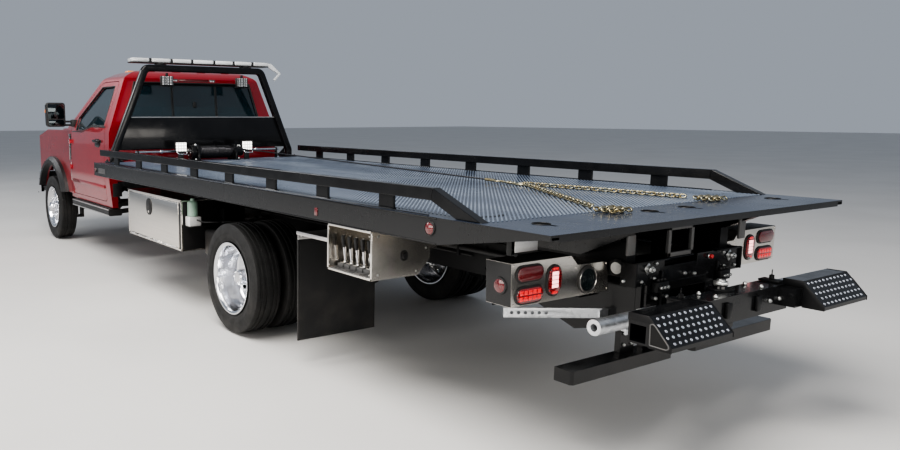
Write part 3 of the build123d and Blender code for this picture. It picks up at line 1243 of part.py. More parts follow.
def control_box():
    """Box with an open outer side, its lower inner corner cut off."""
    t = CONTROL_T
    box = slab(CONTROL_X0, CONTROL_X1, CONTROL_Y0, CONTROL_Y1, CONTROL_Z0, CONTROL_Z1)
    corner = [
        (CONTROL_X0 - 1, CONTROL_Z0 - 1), (CONTROL_X0 - 1, CONTROL_Z0 + CONTROL_CUT),
        (CONTROL_X0 + CONTROL_CUT, CONTROL_Z0 - 1),
    ]
    box -= prism_y(corner, CONTROL_Y0 - 1, CONTROL_Y1 + 1)
    hollow = [
        (CONTROL_X1 + 10, CONTROL_Z0 + t), (CONTROL_X1 + 10, CONTROL_Z1 - t), (CONTROL_X0 + t, CONTROL_Z1 - t),
        (CONTROL_X0 + t, CONTROL_Z0 + CONTROL_CUT + t / 2), (CONTROL_X0 + CONTROL_CUT + t / 2, CONTROL_Z0 + t),
    ]
    box -= prism_y(hollow, CONTROL_Y0 + t, CONTROL_Y1 - t)
    return box + slab(RAIL_OUT_X + REST_GAP, CONTROL_X0 + 1, CONTROL_Y0 + 180, CONTROL_Y0 + 240, 790, 850)


def control_levers():
    """A row of upright levers with square grips on the control box's floor."""
    floor_z = CONTROL_Z0 + CONTROL_T + REST_GAP
    middle = (CONTROL_Y0 + CONTROL_Y1) / 2
    levers = []
    for k in range(LEVERS):
        y = middle + (k - (LEVERS - 1) / 2) * LEVER_PITCH
        lever = slab(LEVER_X - 26, LEVER_X + 26, y - 16, y + 16, floor_z, floor_z + 30)
        lever += rod_z(LEVER_R, floor_z + 29, floor_z + 120, LEVER_X, y)
        half = LEVER_GRIP / 2
        lever += slab(LEVER_X - half, LEVER_X + half, y - half, y + half, floor_z + 119, floor_z + 190)
        levers.append(lever)
    return levers


def mud_flaps():
    """Hanging flap and, behind its top edge, the shelf that holds it to the frame."""
    flap = slab(FLAP_X0, FLAP_X1, FLAP_Y, FLAP_Y + FLAP_T, FLAP_Z0, FLAP_TOP_Z)
    back = FLAP_Y + FLAP_T + REST_GAP
    shelf = slab(RAIL_OUT_X + REST_GAP, FLAP_X1, back, CONTROL_Y0 - REST_GAP, FLAP_TOP_Z - SHELF_T, FLAP_TOP_Z)
    return both(flap) + both(shelf)


# Wheel lift

def lift_arm():
    pivot_y = LIFT_PIVOT[0]
    arm = slab(-BOOM_HALF, BOOM_HALF, pivot_y - 60, BOOM_Y1, BOOM_Z0, BOOM_Z1)
    inner = BOOM_HALF - BOOM_T
    arm -= slab(-inner, inner, pivot_y + 100, BOOM_Y1 + 10, BOOM_Z0 + BOOM_T, BOOM_Z1 - BOOM_T)
    return arm - rod_x(LIFT_PIN_R + BEARING_GAP, -BOOM_HALF - 5, BOOM_HALF + 5, *LIFT_PIVOT)


def stinger():
    """Inner boom that slides in the arm, with a tongue and the swivel pin at its end."""
    inner = BOOM_HALF - BOOM_T - STINGER_GAP
    z0 = BOOM_Z0 + BOOM_T + STINGER_GAP
    z1 = BOOM_Z1 - BOOM_T - STINGER_GAP
    bar = slab(-inner, inner, STINGER_Y0, STINGER_Y1 - 20, z0, z1)
    bar += slab(-inner, inner, STINGER_Y1 - 20, SWIVEL_Y + 40, z0, z0 + TONGUE_T)
    return bar + rod_z(SWIVEL_R, z0, SWIVEL_TOP_Z, 0, SWIVEL_Y)


def crossbar():
    """Swivelling beam; a square arm runs out each side under a sloping grip step."""
    beam = slab(-BEAM_HALF, BEAM_HALF, BEAM_Y0, BEAM_Y1, BEAM_Z0, BEAM_Z1)
    beam += rod_z(SWIVEL_R + 34, BEAM_Z0, BEAM_Z1, 0, SWIVEL_Y)
    beam -= rod_z(SWIVEL_R + BEARING_GAP, BEAM_Z0 - 5, BEAM_Z1 + 5, 0, SWIVEL_Y)
    top_y, top_z = STEP_TOP
    for sign in (1, -1):
        arm = slab(STEP_X0 - 60, STEP_X1, ARM_Y0, ARM_Y1, ARM_Z0, ARM_Z1)
        arm -= slab(BEAM_HALF + 10, STEP_X1 + 5, ARM_Y0 + ARM_T, ARM_Y1 - ARM_T, ARM_Z0 + ARM_T, ARM_Z1 - ARM_T)
        step = prism_x([
            (ARM_Y0 - 4, top_z - STEP_T), (ARM_Y0 - 4, top_z), (top_y, top_z), (REAR_END, STEP_LIP_Z),
            (REAR_END, STEP_LIP_Z - 18), (REAR_END - STEP_T, STEP_LIP_Z - 18), (REAR_END - STEP_T, STEP_LIP_Z - 3),
            (top_y - 3, top_z - STEP_T),
        ], STEP_X0, STEP_X1)
        gusset = [(ARM_Y0, ARM_Z1 - 1), (ARM_Y0, top_z - 1), (top_y - 4, top_z - 1), (ARM_Y1, ARM_Z1 - 1)]
        web = [(ARM_Y1 - 1, ARM_Z0), (ARM_Y1 - 1, top_z - 6), (top_y, top_z - 6), (REAR_END - 3, STEP_LIP_Z - 4),
               (REAR_END - 3, STEP_LIP_Z - 16)]
        for x in (STEP_X0, (STEP_X0 + STEP_X1) / 2, STEP_X1 - 6):
            step += prism_x(gusset, x, x + 6) + prism_x(web, x, x + 6)
        beam += on_side(arm + step, sign)
    return beam


def lift_tubes():
    """Galvanised tubes, one each side, that take the legs of wheel forks."""
    x0, x1 = LIFT_TUBE_X0, LIFT_TUBE_X1
    tube = rod_x(LIFT_TUBE_R, x0, x1, LIFT_TUBE_Y, LIFT_TUBE_Z)
    tube += slab(x0, BEAM_HALF, LIFT_TUBE_Y, BEAM_Y0 - REST_GAP, LIFT_TUBE_Z - 20, LIFT_TUBE_Z + 20)
    return both(tube - rod_x(LIFT_TUBE_BORE, x0 - 10, x1 + 10, LIFT_TUBE_Y, LIFT_TUBE_Z))


def build():
    roof, back, floor, sides, doors, glass, panes = cab_pieces()
    levers = control_levers()
    nodes = {
        "frame_rails": frame_rails(),
        "engine_block": [engine_block()],
        "drivetrain": drivetrain(),
        "axles": axles(),
        "suspension": suspension(),
        "fuel_tank": [fuel_tank()],
        "cab_floor": floor,
        "cab_sides": [sides],
        "cab_back": [back],
        "cab_roof": [roof],
        "cab_glass": panes,
        "cab_interior": cab_interior(),
        "fenders": fenders(),
        "arch_flares": arch_flares(),
        "grille": [grille()],
        "headlamps": headlamps(),
        "front_bumper": front_bumper(),
        "running_boards": running_boards(),
        "tail_frame": tail_frame(),
        "tail_panels": tail_panels(),
        "tail_lamps": tail_lamps(),
        "stowed_bar": stowed_bar(),
        "toolboxes": both(toolbox()),
        "control_boxes": both(control_box()) + levers + [mirrored(lever) for lever in levers],
        "mud_flaps": mud_flaps(),
        "subframe": subframe(),
        "bed_deck": [bed_deck()],
        "bed_frame": bed_frame(),
        "side_rails": side_rails(),
        "headache_rack": [headache_rack()],
        "bed_lamps": bed_lamps(),
        "winch": [winch()],
        "winch_cable": [winch_cable()],
        "tie_chain": tie_chain(),
        "slide_rod": [slide_rod()],
        "tilt_barrels": both(tilt_barrel()),
        "tilt_rods": both(tilt_rod()),
        "lift_arm": [lift_arm()],
        "stinger": [stinger()],
        "crossbar": [crossbar()],
        "lift_tubes": lift_tubes(),
        "hood": [hood()],
    }
    for name, sign in SIDES:
        handle = on_side(door_handle(), sign)
        leaf = doors[name]
        nodes["door_" + name] = [leaf + handle]
        nodes["door_glass_" + name] = [glass[name]]
        nodes["mirror_" + name] = [on_side(mirror_head(), sign) - leaf]
        nodes["toolbox_door_" + name] = [on_side(toolbox_door(), sign)]
        nodes["knuckle_" + name] = [on_side(knuckle(), sign)]
        nodes["tyre_front_" + name] = [on_side(tyre(FRONT_TRACK_HALF, 0), sign)]
        nodes["wheel_front_" + name] = [on_side(front_wheel(), sign)]
        duals = [tyre(DUAL_INNER_X, WHEELBASE), tyre(DUAL_OUTER_X, WHEELBASE)]
        nodes["tyres_rear_" + name] = [on_side(shape, sign) for shape in duals]
        nodes["wheels_rear_" + name] = [on_side(rear_wheel(), sign)]
    return nodes


def main():
    """Write one STEP file per node, with the origin under the middle of the vehicle."""
    os.makedirs("parts", exist_ok=True)
    shift = Pos(0, -(FRONT_END + REAR_END) / 2, 0)
    for name, pieces in build().items():
        solids = [shift * solid for solid in solids_of(pieces)]
        shape = solids[0] if len(solids) == 1 else Compound(solids)
        shape.label = name
        export_step(shape, f"parts/{name}.step")


if __name__ == "__main__":
    main()
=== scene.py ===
import json
import math

import bpy
from mathutils import Matrix, Vector


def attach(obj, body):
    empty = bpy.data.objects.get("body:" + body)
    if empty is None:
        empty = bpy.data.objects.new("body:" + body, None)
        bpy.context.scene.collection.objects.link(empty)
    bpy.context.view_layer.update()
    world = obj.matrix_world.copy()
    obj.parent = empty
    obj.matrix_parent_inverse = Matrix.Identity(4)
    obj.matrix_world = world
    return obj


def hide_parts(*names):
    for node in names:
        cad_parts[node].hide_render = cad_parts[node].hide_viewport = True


bl_info = {
    "name": "Flatbed tow truck",
    "version": (1, 0, 0),
    "blender": (4, 5, 0),
    "location": "View3D > Sidebar > Tow truck",
    "description": "Dresses the packed tow truck with its finishes and its fine parts",
    "category": "Object",
}

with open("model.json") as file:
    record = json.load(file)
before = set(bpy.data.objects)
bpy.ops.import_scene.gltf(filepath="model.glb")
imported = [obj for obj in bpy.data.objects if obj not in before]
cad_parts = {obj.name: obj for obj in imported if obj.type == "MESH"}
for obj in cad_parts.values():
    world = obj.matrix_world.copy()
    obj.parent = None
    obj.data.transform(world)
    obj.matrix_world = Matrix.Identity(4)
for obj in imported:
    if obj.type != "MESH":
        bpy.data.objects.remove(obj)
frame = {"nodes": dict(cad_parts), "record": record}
NODES = frame["nodes"]
SUBPARTS = frame["record"]["subparts"]
SLOTS = {part["material_slot"] for part in SUBPARTS}
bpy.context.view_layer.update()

# Lengths below are in metres. A place is given as x to the vehicle's left, y behind the front
# axle and z above the ground; the model's own origin lies this far behind the front axle.
ORIGIN_Y = 3.715
HUB = (0, ORIGIN_Y, 0)
WHEELBASE = 5.207
AXLE_Z = 0.4075
TYRE_R = 0.4075
DECK_Z = 1.1
DECK_TOP = DECK_Z + 0.0005
BED_HALF = 1.219
BED_FRONT = 2.32
# Rear faces of the lamp panels and of the tail frame, and the middle plane of the grille
PANEL_FACE = 7.8
TAIL_BACK = 7.95
GRILLE_Y = -0.84
SIGNS = (-1, 1)
LEFT, REAR, UP = (1, 0, 0), (0, 1, 0), (0, 0, 1)
# Radius at which a turned form closes on its axis, and how much of a nut's bolt shows above it
TIP = 0.0004
STUD_REACH = 1.45


class TruckSizes(bpy.types.PropertyGroup):
    rib_pitch: bpy.props.FloatProperty(
        name="Rib pitch", description="Distance between the deck's raised ribs", default=0.020, unit="LENGTH")
    tread_depth: bpy.props.FloatProperty(
        name="Tread depth", description="Depth of the grooves in the tyres' tread", default=0.009, unit="LENGTH")
    tread_blocks: bpy.props.IntProperty(
        name="Tread blocks", description="Blocks round each tyre's shoulder", default=48, min=16, max=96)
    wheel_nuts: bpy.props.IntProperty(
        name="Wheel nuts", description="Nuts that hold each wheel to its hub", default=10, min=6, max=12)
    wire: bpy.props.FloatProperty(
        name="Chain wire", description="Diameter of the chain links' wire", default=0.0097, unit="LENGTH")
    edge_round: bpy.props.FloatProperty(
        name="Edge rounding", description="Rounding along sheet and tube edges", default=0.003, unit="LENGTH")


class TruckColours(bpy.types.PropertyGroup):
    paint: bpy.props.FloatVectorProperty(
        name="Cab paint", description="Colour of the cab's metallic paint", subtype="COLOR", size=3,
        default=(0.31, 0.006, 0.014), min=0, max=1)
    floor: bpy.props.FloatVectorProperty(
        name="Floor", description="Colour of the studio floor", subtype="COLOR", size=3,
        default=(0.55, 0.545, 0.535), min=0, max=1)
    glow: bpy.props.FloatProperty(
        name="Winch lamp glow", description="Strength of the lit lamps at the winch", default=6.0, min=0)


def sizes():
    return bpy.context.scene.truck_sizes


def colours():
    return bpy.context.scene.truck_colours


# Shader building

class Wire:
    """A shader socket that takes plain arithmetic; each operator adds one Math node."""

    def __init__(self, finish, socket):
        self.finish = finish
        self.socket = socket

    def _math(self, operation, *values):
        return self.finish.node("ShaderNodeMath", {"operation": operation}, dict(enumerate(values)))

    def __add__(self, other):
        return self._math("ADD", self, other)

    def __radd__(self, other):
        return self._math("ADD", other, self)

    def __sub__(self, other):
        return self._math("SUBTRACT", self, other)

    def __rsub__(self, other):
        return self._math("SUBTRACT", other, self)

    def __mul__(self, other):
        return self._math("MULTIPLY", self, other)

    def __truediv__(self, other):
        return self._math("DIVIDE", self, other)

    def __pow__(self, other):
        return self._math("POWER", self, other)

    def __abs__(self):
        return self._math("ABSOLUTE", self)

    def __gt__(self, other):
        return self._math("GREATER_THAN", self, other)

    def fraction(self):
        return self._math("FRACT", self)

    def ramp(self, low, high):
        """0 below low, 1 above high, smooth between."""
        settings = {"interpolation_type": "SMOOTHSTEP"}
        return self.finish.node("ShaderNodeMapRange", settings, {0: self, 1: low, 2: high})


class Finish:
    """One material: a principled shader and the nodes that feed it."""

    def __init__(self, name, **values):
        self.material = bpy.data.materials.new(name)
        self.material.use_nodes = True
        self.tree = self.material.node_tree
        self.shader = self.tree.nodes["Principled BSDF"]
        for socket, value in values.items():
            self.shader.inputs[socket.replace("_", " ").title().replace("Ior", "IOR")].default_value = value
        self._place = None

    def node(self, kind, settings=None, inputs=None, output=0):
        made = self.tree.nodes.new(kind)
        for key, value in (settings or {}).items():
            setattr(made, key, value)
        for key, value in (inputs or {}).items():
            if isinstance(value, Wire):
                self.tree.links.new(value.socket, made.inputs[key])
            else:
                made.inputs[key].default_value = value
        return Wire(self, made.outputs[output])

    def place(self):
        """Object coordinates, which are the truck's own, in metres."""
        if self._place is None:
            self._place = self.node("ShaderNodeTexCoord", output="Object")
        return self._place

    def axes(self):
        split = self.tree.nodes.new("ShaderNodeSeparateXYZ")
        self.tree.links.new(self.place().socket, split.inputs[0])
        return [Wire(self, socket) for socket in split.outputs]

    def noise(self, scale, detail=3.0, stretch=(1, 1, 1)):
        vector = self.place()
        if stretch != (1, 1, 1):
            vector = self.node("ShaderNodeMapping", None, {"Vector": vector, "Scale": stretch})
        return self.node("ShaderNodeTexNoise", None, {"Vector": vector, "Scale": scale, "Detail": detail})

    def cells(self, scale, feature="F1", output="Distance"):
        return self.node("ShaderNodeTexVoronoi", {"feature": feature}, {"Vector": self.place(), "Scale": scale},
                         output)

    def flecks(self, scale):
        """A grey of its own for each small cell."""
        return self.node("ShaderNodeSeparateColor", None, {0: self.cells(scale, output="Color")})

    def mix(self, mask, first, second):
        """The first colour where the mask is 0, the second where it is 1."""
        return self.node("ShaderNodeMix", {"data_type": "RGBA"}, {0: mask, 6: first, 7: second}, 2)

    def feed(self, socket, wire):
        self.tree.links.new(wire.socket, self.shader.inputs[socket])

    def relief(self, height, depth, strength=1.0):
        """The last step of a finish; it gives the material."""
        bump = self.node("ShaderNodeBump", None, {"Height": height, "Distance": depth, "Strength": strength})
        self.feed("Normal", bump)
        return self.material


def rgba(colour, share=1.0):
    return (*[c * share for c in colour], 1.0)


def dusty(finish, colour, dust=(0.16, 0.14, 0.12), amount=0.5, top=0.75):
    """Colour with road dust that thickens towards the ground."""
    low = 1 - finish.axes()[2].ramp(0.15, top)
    patches = finish.noise(7.0, 5.0).ramp(0.35, 0.75)
    return finish.mix(low * patches * amount, colour, rgba(dust))


def cab_paint(name, colour):
    f = Finish(name, metallic=0.45, roughness=0.3, coat_weight=1.0, coat_roughness=0.03)
    bright = rgba([min(1, c * 1.25 + 0.004) for c in colour])
    base = f.mix(f.flecks(1400.0).ramp(0.2, 0.9), rgba(colour, 0.72), bright)
    low = (1 - f.axes()[2].ramp(0.5, 1.0)) * f.noise(5.0, 5.0).ramp(0.4, 0.8)
    f.feed("Base Color", f.mix(low * 0.25, base, rgba((0.2, 0.14, 0.12))))
    f.feed("Roughness", f.noise(3.0).ramp(0.2, 0.8) * 0.08 + 0.26 + low * 0.2)
    return f.relief(f.noise(140.0, 2.0), 0.0002, 0.25)


def black_paint(name, gloss, coat=0.12, dust=0.06):
    f = Finish(name, coat_weight=coat, coat_roughness=0.05, specular_ior_level=0.25)
    tone = f.mix(f.noise(2.5, 4.0).ramp(0.3, 0.7), rgba((0.0035, 0.0036, 0.0042)), rgba((0.0065, 0.0068, 0.0075)))
    f.feed("Base Color", dusty(f, tone, amount=dust))
    f.feed("Roughness", f.noise(11.0, 4.0).ramp(0.3, 0.75) * 0.14 + gloss)
    return f.relief(f.noise(220.0, 2.0), 0.0002, 0.2)


def tread_plate(name):
    """Glossy dark steel with scuffs and streaks along the deck; the blue of its top face is a painted sky reflection,
    the raised ribs are painted a lighter blue as a highlight, and faces below the top stay near black.
    """
    f = Finish(name, coat_weight=0.15, coat_roughness=0.12, specular_ior_level=0.45)
    z = f.axes()[2]
    on_rib = z > DECK_Z + 0.0007
    # Painted light: only the top face between the ribs takes the painted sky reflection; faces lower down stay near
    # black.
    top = (z > DECK_Z - 0.0005) - on_rib
    wear = f.noise(1.7, 6.0).ramp(0.42, 0.72)
    scuffs = f.noise(26.0, 6.0, (0.35, 2.2, 1.0)).ramp(0.58, 0.74)
    streaks = f.noise(4.0, 4.0, (1.0, 0.25, 1.0)).ramp(0.35, 0.7)
    # Both plate colours are tinted blue as a painted sky reflection; the scuffs mixed in next are real wear.
    plate = f.mix(streaks * 0.6 + wear * 0.3, rgba((0.009, 0.014, 0.027)), rgba((0.02, 0.029, 0.05)))
    plate = f.mix(scuffs * wear * 0.4, plate, rgba((0.12, 0.125, 0.13)))
    # The ribs' lighter blue is a painted highlight of reflected sky.
    rib = f.mix(streaks, rgba((0.085, 0.11, 0.155)), rgba((0.18, 0.215, 0.27)))
    f.feed("Base Color", f.mix(on_rib, f.mix(top, rgba((0.0045, 0.0048, 0.0055)), plate), rib))
    f.feed("Roughness", 0.22 + wear * 0.1 + scuffs * 0.12 + on_rib * 0.08)
    return f.relief(f.noise(60.0, 3.0), 0.0006, 0.35)


def bright_metal(name, colour, rough, brushed=(1, 1, 1), grain=0.15, haze=0.08):
    f = Finish(name, metallic=1.0)
    streak = f.noise(90.0, 4.0, brushed)
    cloud = f.noise(2.2, 4.0).ramp(0.3, 0.75)
    f.feed("Base Color", f.mix(streak.ramp(0.3, 0.7) * 0.6 + cloud * 0.3, rgba(colour), rgba(colour, 0.84)))
    f.feed("Roughness", rough + cloud * haze + streak * 0.05)
    return f.relief(streak, 0.0003, grain)


def galvanised_metal(name):
    f = Finish(name, metallic=0.85)
    grey = f.flecks(55.0)
    tone = f.mix(grey, rgba((0.56, 0.58, 0.60)), rgba((0.76, 0.78, 0.80)))
    f.feed("Base Color", dusty(f, tone, (0.3, 0.29, 0.27), 0.3))
    f.feed("Roughness", grey * 0.15 + 0.36)
    return f.relief(f.noise(40.0, 4.0), 0.0006, 0.3)


def yellow_zinc(name):
    f = Finish(name, metallic=0.9)
    tone = f.mix(f.noise(30.0, 3.0).ramp(0.35, 0.65), rgba((0.34, 0.285, 0.165)), rgba((0.29, 0.29, 0.23)))
    worn = f.noise(160.0, 4.0).ramp(0.55, 0.7)
    f.feed("Base Color", f.mix(worn * 0.6, tone, rgba((0.07, 0.055, 0.04))))
    f.feed("Roughness", 0.3 + worn * 0.2)
    return f.relief(f.noise(300.0, 3.0), 0.0003, 0.3)


def cast_steel(name, colour):
    f = Finish(name, metallic=0.4)
    rust = f.noise(14.0, 6.0).ramp(0.52, 0.72)
    tone = f.mix(rust * 0.35, rgba(colour), rgba((0.12, 0.065, 0.04)))
    f.feed("Base Color", dusty(f, tone, amount=0.6, top=0.9))
    f.feed("Roughness", 0.55 + rust * 0.2)
    return f.relief(f.noise(170.0, 5.0), 0.0008, 0.5)


def moulded_plastic(name, colour, rough=0.5, grain=700.0, dust=0.4):
    f = Finish(name)
    leather = f.cells(grain, "DISTANCE_TO_EDGE")
    tone = f.mix(f.noise(5.0, 4.0).ramp(0.3, 0.7), rgba(colour), rgba(colour, 1.5))
    f.feed("Base Color", dusty(f, tone, amount=dust))
    f.feed("Roughness", rough + f.noise(16.0, 3.0) * 0.12)
    return f.relief(leather.ramp(0.0, 0.25), 0.0003, 0.5)


def tyre_rubber(name):
    f = Finish(name, specular_ior_level=0.4)
    fine = f.noise(90.0, 5.0)
    tone = f.mix(fine.ramp(0.35, 0.7), rgba((0.0055, 0.0055, 0.006)), rgba((0.012, 0.0118, 0.0115)))
    f.feed("Base Color", dusty(f, tone, (0.05, 0.046, 0.04), 0.3, 0.6))
    f.feed("Roughness", 0.56 + f.noise(12.0, 4.0).ramp(0.3, 0.7) * 0.2)
    return f.relief(fine, 0.0006, 0.4)


def tinted_glass(name, colour, see_through):
    f = Finish(name, roughness=0.02, coat_weight=1.0, coat_roughness=0.01, specular_ior_level=0.7)
    film = f.noise(2.0, 4.0).ramp(0.35, 0.75)
    f.feed("Base Color", f.mix(film, rgba(colour), rgba(colour, 1.6)))
    f.feed("Roughness", film * 0.03 + 0.015)
    f.feed("Alpha", film * 0.05 + (1 - see_through))
    return f.material


def lamp_lens(name, colour, glow=0.0, pitch=0.0, dark=0.35):
    """A moulded lens; with a pitch it shows rows of small round emitters across X and Z."""
    f = Finish(name, coat_weight=1.0, coat_roughness=0.02, specular_ior_level=0.6, emission_strength=1.0)
    x, _, z = f.axes()
    if pitch:
        u, v = [(axis / pitch).fraction() - 0.5 for axis in (x, z)]
        dots = 1 - ((u * u + v * v) ** 0.5).ramp(0.2, 0.34)
    else:
        dots = f.cells(240.0, "F1").ramp(0.1, 0.6)
    f.feed("Base Color", f.mix(dots, rgba(colour, dark), rgba(colour)))
    f.feed("Emission Color", f.mix(dots, rgba(colour, glow * 0.15), rgba(colour, glow)))
    f.feed("Roughness", f.noise(40.0) * 0.05 + 0.06)
    return f.relief(dots, 0.0012, 0.5)


def seat_cloth(name):
    f = Finish(name, sheen_weight=0.4, specular_ior_level=0.25)
    x, y, z = f.axes()
    weave = ((x * 420).fraction() - 0.5) * ((z * 420 + y * 420).fraction() - 0.5)
    f.feed("Base Color", f.mix(weave.ramp(-0.1, 0.1), rgba((0.035, 0.035, 0.038)), rgba((0.085, 0.085, 0.09))))
    f.feed("Roughness", f.noise(30.0) * 0.1 + 0.8)
    return f.relief(weave, 0.002, 0.4)


def wire_strand(name):
    """Twisted strands: dark lines that climb round the rope along its length."""
    f = Finish(name, metallic=0.8)
    x, y, z = f.axes()
    strand = abs((y * 38 + z * 60 + x * 60).fraction() - 0.5) * 2
    f.feed("Base Color", f.mix(strand, rgba((0.03, 0.03, 0.03)), rgba((0.22, 0.22, 0.21))))
    f.feed("Roughness", f.noise(60.0) * 0.2 + 0.35)
    return f.relief(strand, 0.0015, 0.8)


FINISHES = {}
EVEN = (1, 1, 1)
BRUSHED = (1, 0.02, 3)
# Each maker's finishes: key, name of the material, then the maker's own values. A key is one of
# the record's slot names, or names a finish that only added parts use.
PALETTE = (
    (tread_plate, (("deck_black", "tread_plate"),)),
    (galvanised_metal, (("galvanised", "galvanised_metal"),)),
    (wire_strand, (("wire_rope", "wire_strand"),)),
    (yellow_zinc, (("gold_zinc", "yellow_zinc"),)),
    (tyre_rubber, (("tyre_rubber", "tyre_rubber"),)),
    (seat_cloth, (("cab_interior", "seat_cloth"),)),
    (black_paint, (
        ("black_frame", "frame_paint", 0.4, 0.0, 0.15),
        ("gloss_black", "gloss_paint", 0.14, 0.14),
        ("winch_metal", "winch_paint", 0.2, 0.2, 0.03),
    )),
    (moulded_plastic, (
        ("black_plastic", "trim_plastic", (0.0055, 0.0055, 0.006), 0.4, 700.0, 0.15),
        ("black_tank", "tank_plastic", (0.014, 0.014, 0.015), 0.4, 260.0, 0.7),
        ("flap_rubber", "flap_rubber", (0.0045, 0.0045, 0.0048), 0.4, 120.0, 0.15),
        ("blank_plate", "blank_plate", (0.5, 0.5, 0.5), 0.3, 300.0, 0.05),
        ("red_coupling", "red_coupling", (0.35, 0.02, 0.02), 0.35, 300.0, 0.1),
        ("green_bottle", "green_bottle", (0.2, 0.3, 0.24), 0.3, 300.0, 0.1),
        ("hose_rubber", "hose_rubber", (0.016, 0.016, 0.017), 0.45, 500.0, 0.3),
        # dark_gap is near-black and matte: painted shade in holes, slots, pits and open ends.
        ("dark_gap", "dark_gap", (0.002, 0.002, 0.002), 0.9, 500.0, 0.0),
        ("grey_label", "grey_label", (0.05, 0.05, 0.052), 0.35, 500.0, 0.1),
    )),
    (cast_steel, (
        ("engine_paint", "block_paint", (0.06, 0.06, 0.065)),
        ("cast_metal", "cast_steel", (0.045, 0.045, 0.048)),
        ("grey_steel", "grey_steel", (0.1, 0.1, 0.1)),
    )),
    (bright_metal, (
        # Its beige tint is a painted reflection of beige surroundings; the brushed streaks and haze are the steel's
        # own.
        ("polished_stainless", "polished_stainless", (0.86, 0.82, 0.76), 0.16, BRUSHED, 0.02, 0.08),
        ("chrome_bumper", "bumper_chrome", (0.82, 0.82, 0.83), 0.05, EVEN, 0.03, 0.05),
        ("polished_aluminium", "polished_aluminium", (0.83, 0.84, 0.87), 0.12, EVEN, 0.0, 0.04),
        ("cylinder_chrome", "cylinder_chrome", (0.78, 0.79, 0.81), 0.07, (1, 0.05, 1), 0.05, 0.04),
        ("satin_stainless", "satin_stainless", (0.66, 0.65, 0.64), 0.3, BRUSHED, 0.2, 0.1),
        ("bolt_zinc", "bolt_zinc", (0.66, 0.67, 0.66), 0.26, EVEN, 0.1, 0.12),
        ("mirror_glass", "mirror_glass", (0.06, 0.07, 0.075), 0.03, EVEN, 0.0, 0.02),
        ("step_bright", "step_bright", (0.34, 0.36, 0.41), 0.3, EVEN, 0.1, 0.1),
        ("steel_wraps", "steel_wraps", (0.07, 0.07, 0.075), 0.35, EVEN, 0.3, 0.15),
    )),
    (lamp_lens, (
        # Its faint glow is painted light on the side reflectors that take this finish.
        ("red_lamp", "red_lens", (0.11, 0.0012, 0.003), 0.03),
        ("clear_lamp", "clear_lens", (0.72, 0.74, 0.76), 0.0, 0.0, 0.75),
        ("led_red", "led_red", (0.34, 0.003, 0.006), 0.3, 0.0125, 0.25),
        ("amber_lamp", "amber_lens", (0.8, 0.22, 0.01), 0.3),
        ("led_white", "led_white", (0.60, 0.62, 0.64), 0.25, 0.028, 0.12),
        ("lit_red", "lit_red", (0.75, 0.012, 0.015), 0.55, 0.0, 0.7),
        ("lit_pink", "lit_pink", (1.0, 0.45, 0.45), 3.5, 0.0, 0.8),
    )),
    (tinted_glass, (
        ("glass", "tinted_glass", (0.006, 0.018, 0.024), 0.3),
        ("bar_dome", "bar_dome", (0.62, 0.64, 0.65), 0.35),
        ("dark_glass", "dark_glass", (0.006, 0.01, 0.011), 0.05),
    )),
)


def make_finishes():
    FINISHES["cab_red"] = cab_paint("cab_paint", colours().paint)
    FINISHES["lit_white"] = lamp_lens("lit_white", (1.0, 0.98, 0.94), colours().glow, 0.03, 0.8)
    for maker, rows in PALETTE:
        for key, name, *values in rows:
            FINISHES[key] = maker(name, *values)


def dress_frame():
    """Every node of the frame takes the finish of its slot in the record."""
    for part in SUBPARTS:
        node = NODES[part["node"]]
        node.data.materials.clear()
        node.data.materials.append(FINISHES[part["material_slot"]])


# Modelling: each maker starts from a primitive and ends with its place in its mesh

def only(*objects):
    bpy.ops.object.select_all(action="DESELECT")
    for made in objects:
        made.select_set(True)
    bpy.context.view_layer.objects.active = objects[0]


def fresh(add, **values):
    """What one of Blender's add operators makes."""
    bpy.ops.object.select_all(action="DESELECT")
    add(**values)
    return bpy.context.object


def settle(made):
    """Put an object's own place, turn and size into its mesh."""
    only(made)
    bpy.ops.object.transform_apply(location=True, rotation=True, scale=True)
    return made


def at(point):
    """A place in the model's own axes."""
    return Vector((point[0], point[1] - ORIGIN_Y, point[2]))


def rounded(made, width, segments=2, angle=35.0):
    """Round the sharp edges, as folded or machined parts have them."""
    if width:
        only(made)
        edge = made.modifiers.new("rounding", "BEVEL")
        edge.width = width
        edge.segments = segments
        edge.limit_method = "ANGLE"
        edge.angle_limit = math.radians(angle)
        bpy.ops.object.modifier_apply(modifier=edge.name)
    return made


def block(low, high, rounding=0.002, segments=2):
    """A block between two corners, its edges rounded."""
    low, high = Vector(low), Vector(high)
    made = fresh(bpy.ops.mesh.primitive_cube_add, size=1, location=at((low + high) / 2), scale=high - low)
    return rounded(settle(made), rounding, segments)


def block_at(x, half, low, high, rounding=0.002, segments=2):
    """A block about a plane across X, between two corners (y, z)."""
    return block((x - half, *low), (x + half, *high), rounding, segments)


def bar(radius, start, end, sides=24, rounding=0.001):
    """A round bar between two points, its ends chamfered."""
    start, end = at(start), at(end)
    turn = (end - start).to_track_quat("Z", "Y").to_euler()
    made = fresh(bpy.ops.mesh.primitive_cylinder_add, vertices=sides, radius=radius, depth=(end - start).length,
                 location=(start + end) / 2, rotation=turn)
    return rounded(settle(made), rounding, 1)


def bars(radius, points, sides=10, rounding=0.001):
    """Round bars from point to point."""
    return [bar(radius, a, b, sides, rounding) for a, b in zip(points, points[1:])]


def disc(radius, x, z, y0, y1, sides=36, rounding=0.0015):
    return bar(radius, (x, y0, z), (x, y1, z), sides, rounding)


def loop(major, minor, middle, turn=(0, 0, 0), rounds=48, sides=10):
    return settle(fresh(bpy.ops.mesh.primitive_torus_add, major_radius=major, minor_radius=minor,
                        major_segments=rounds, minor_segments=sides, rotation=turn, location=at(middle)))


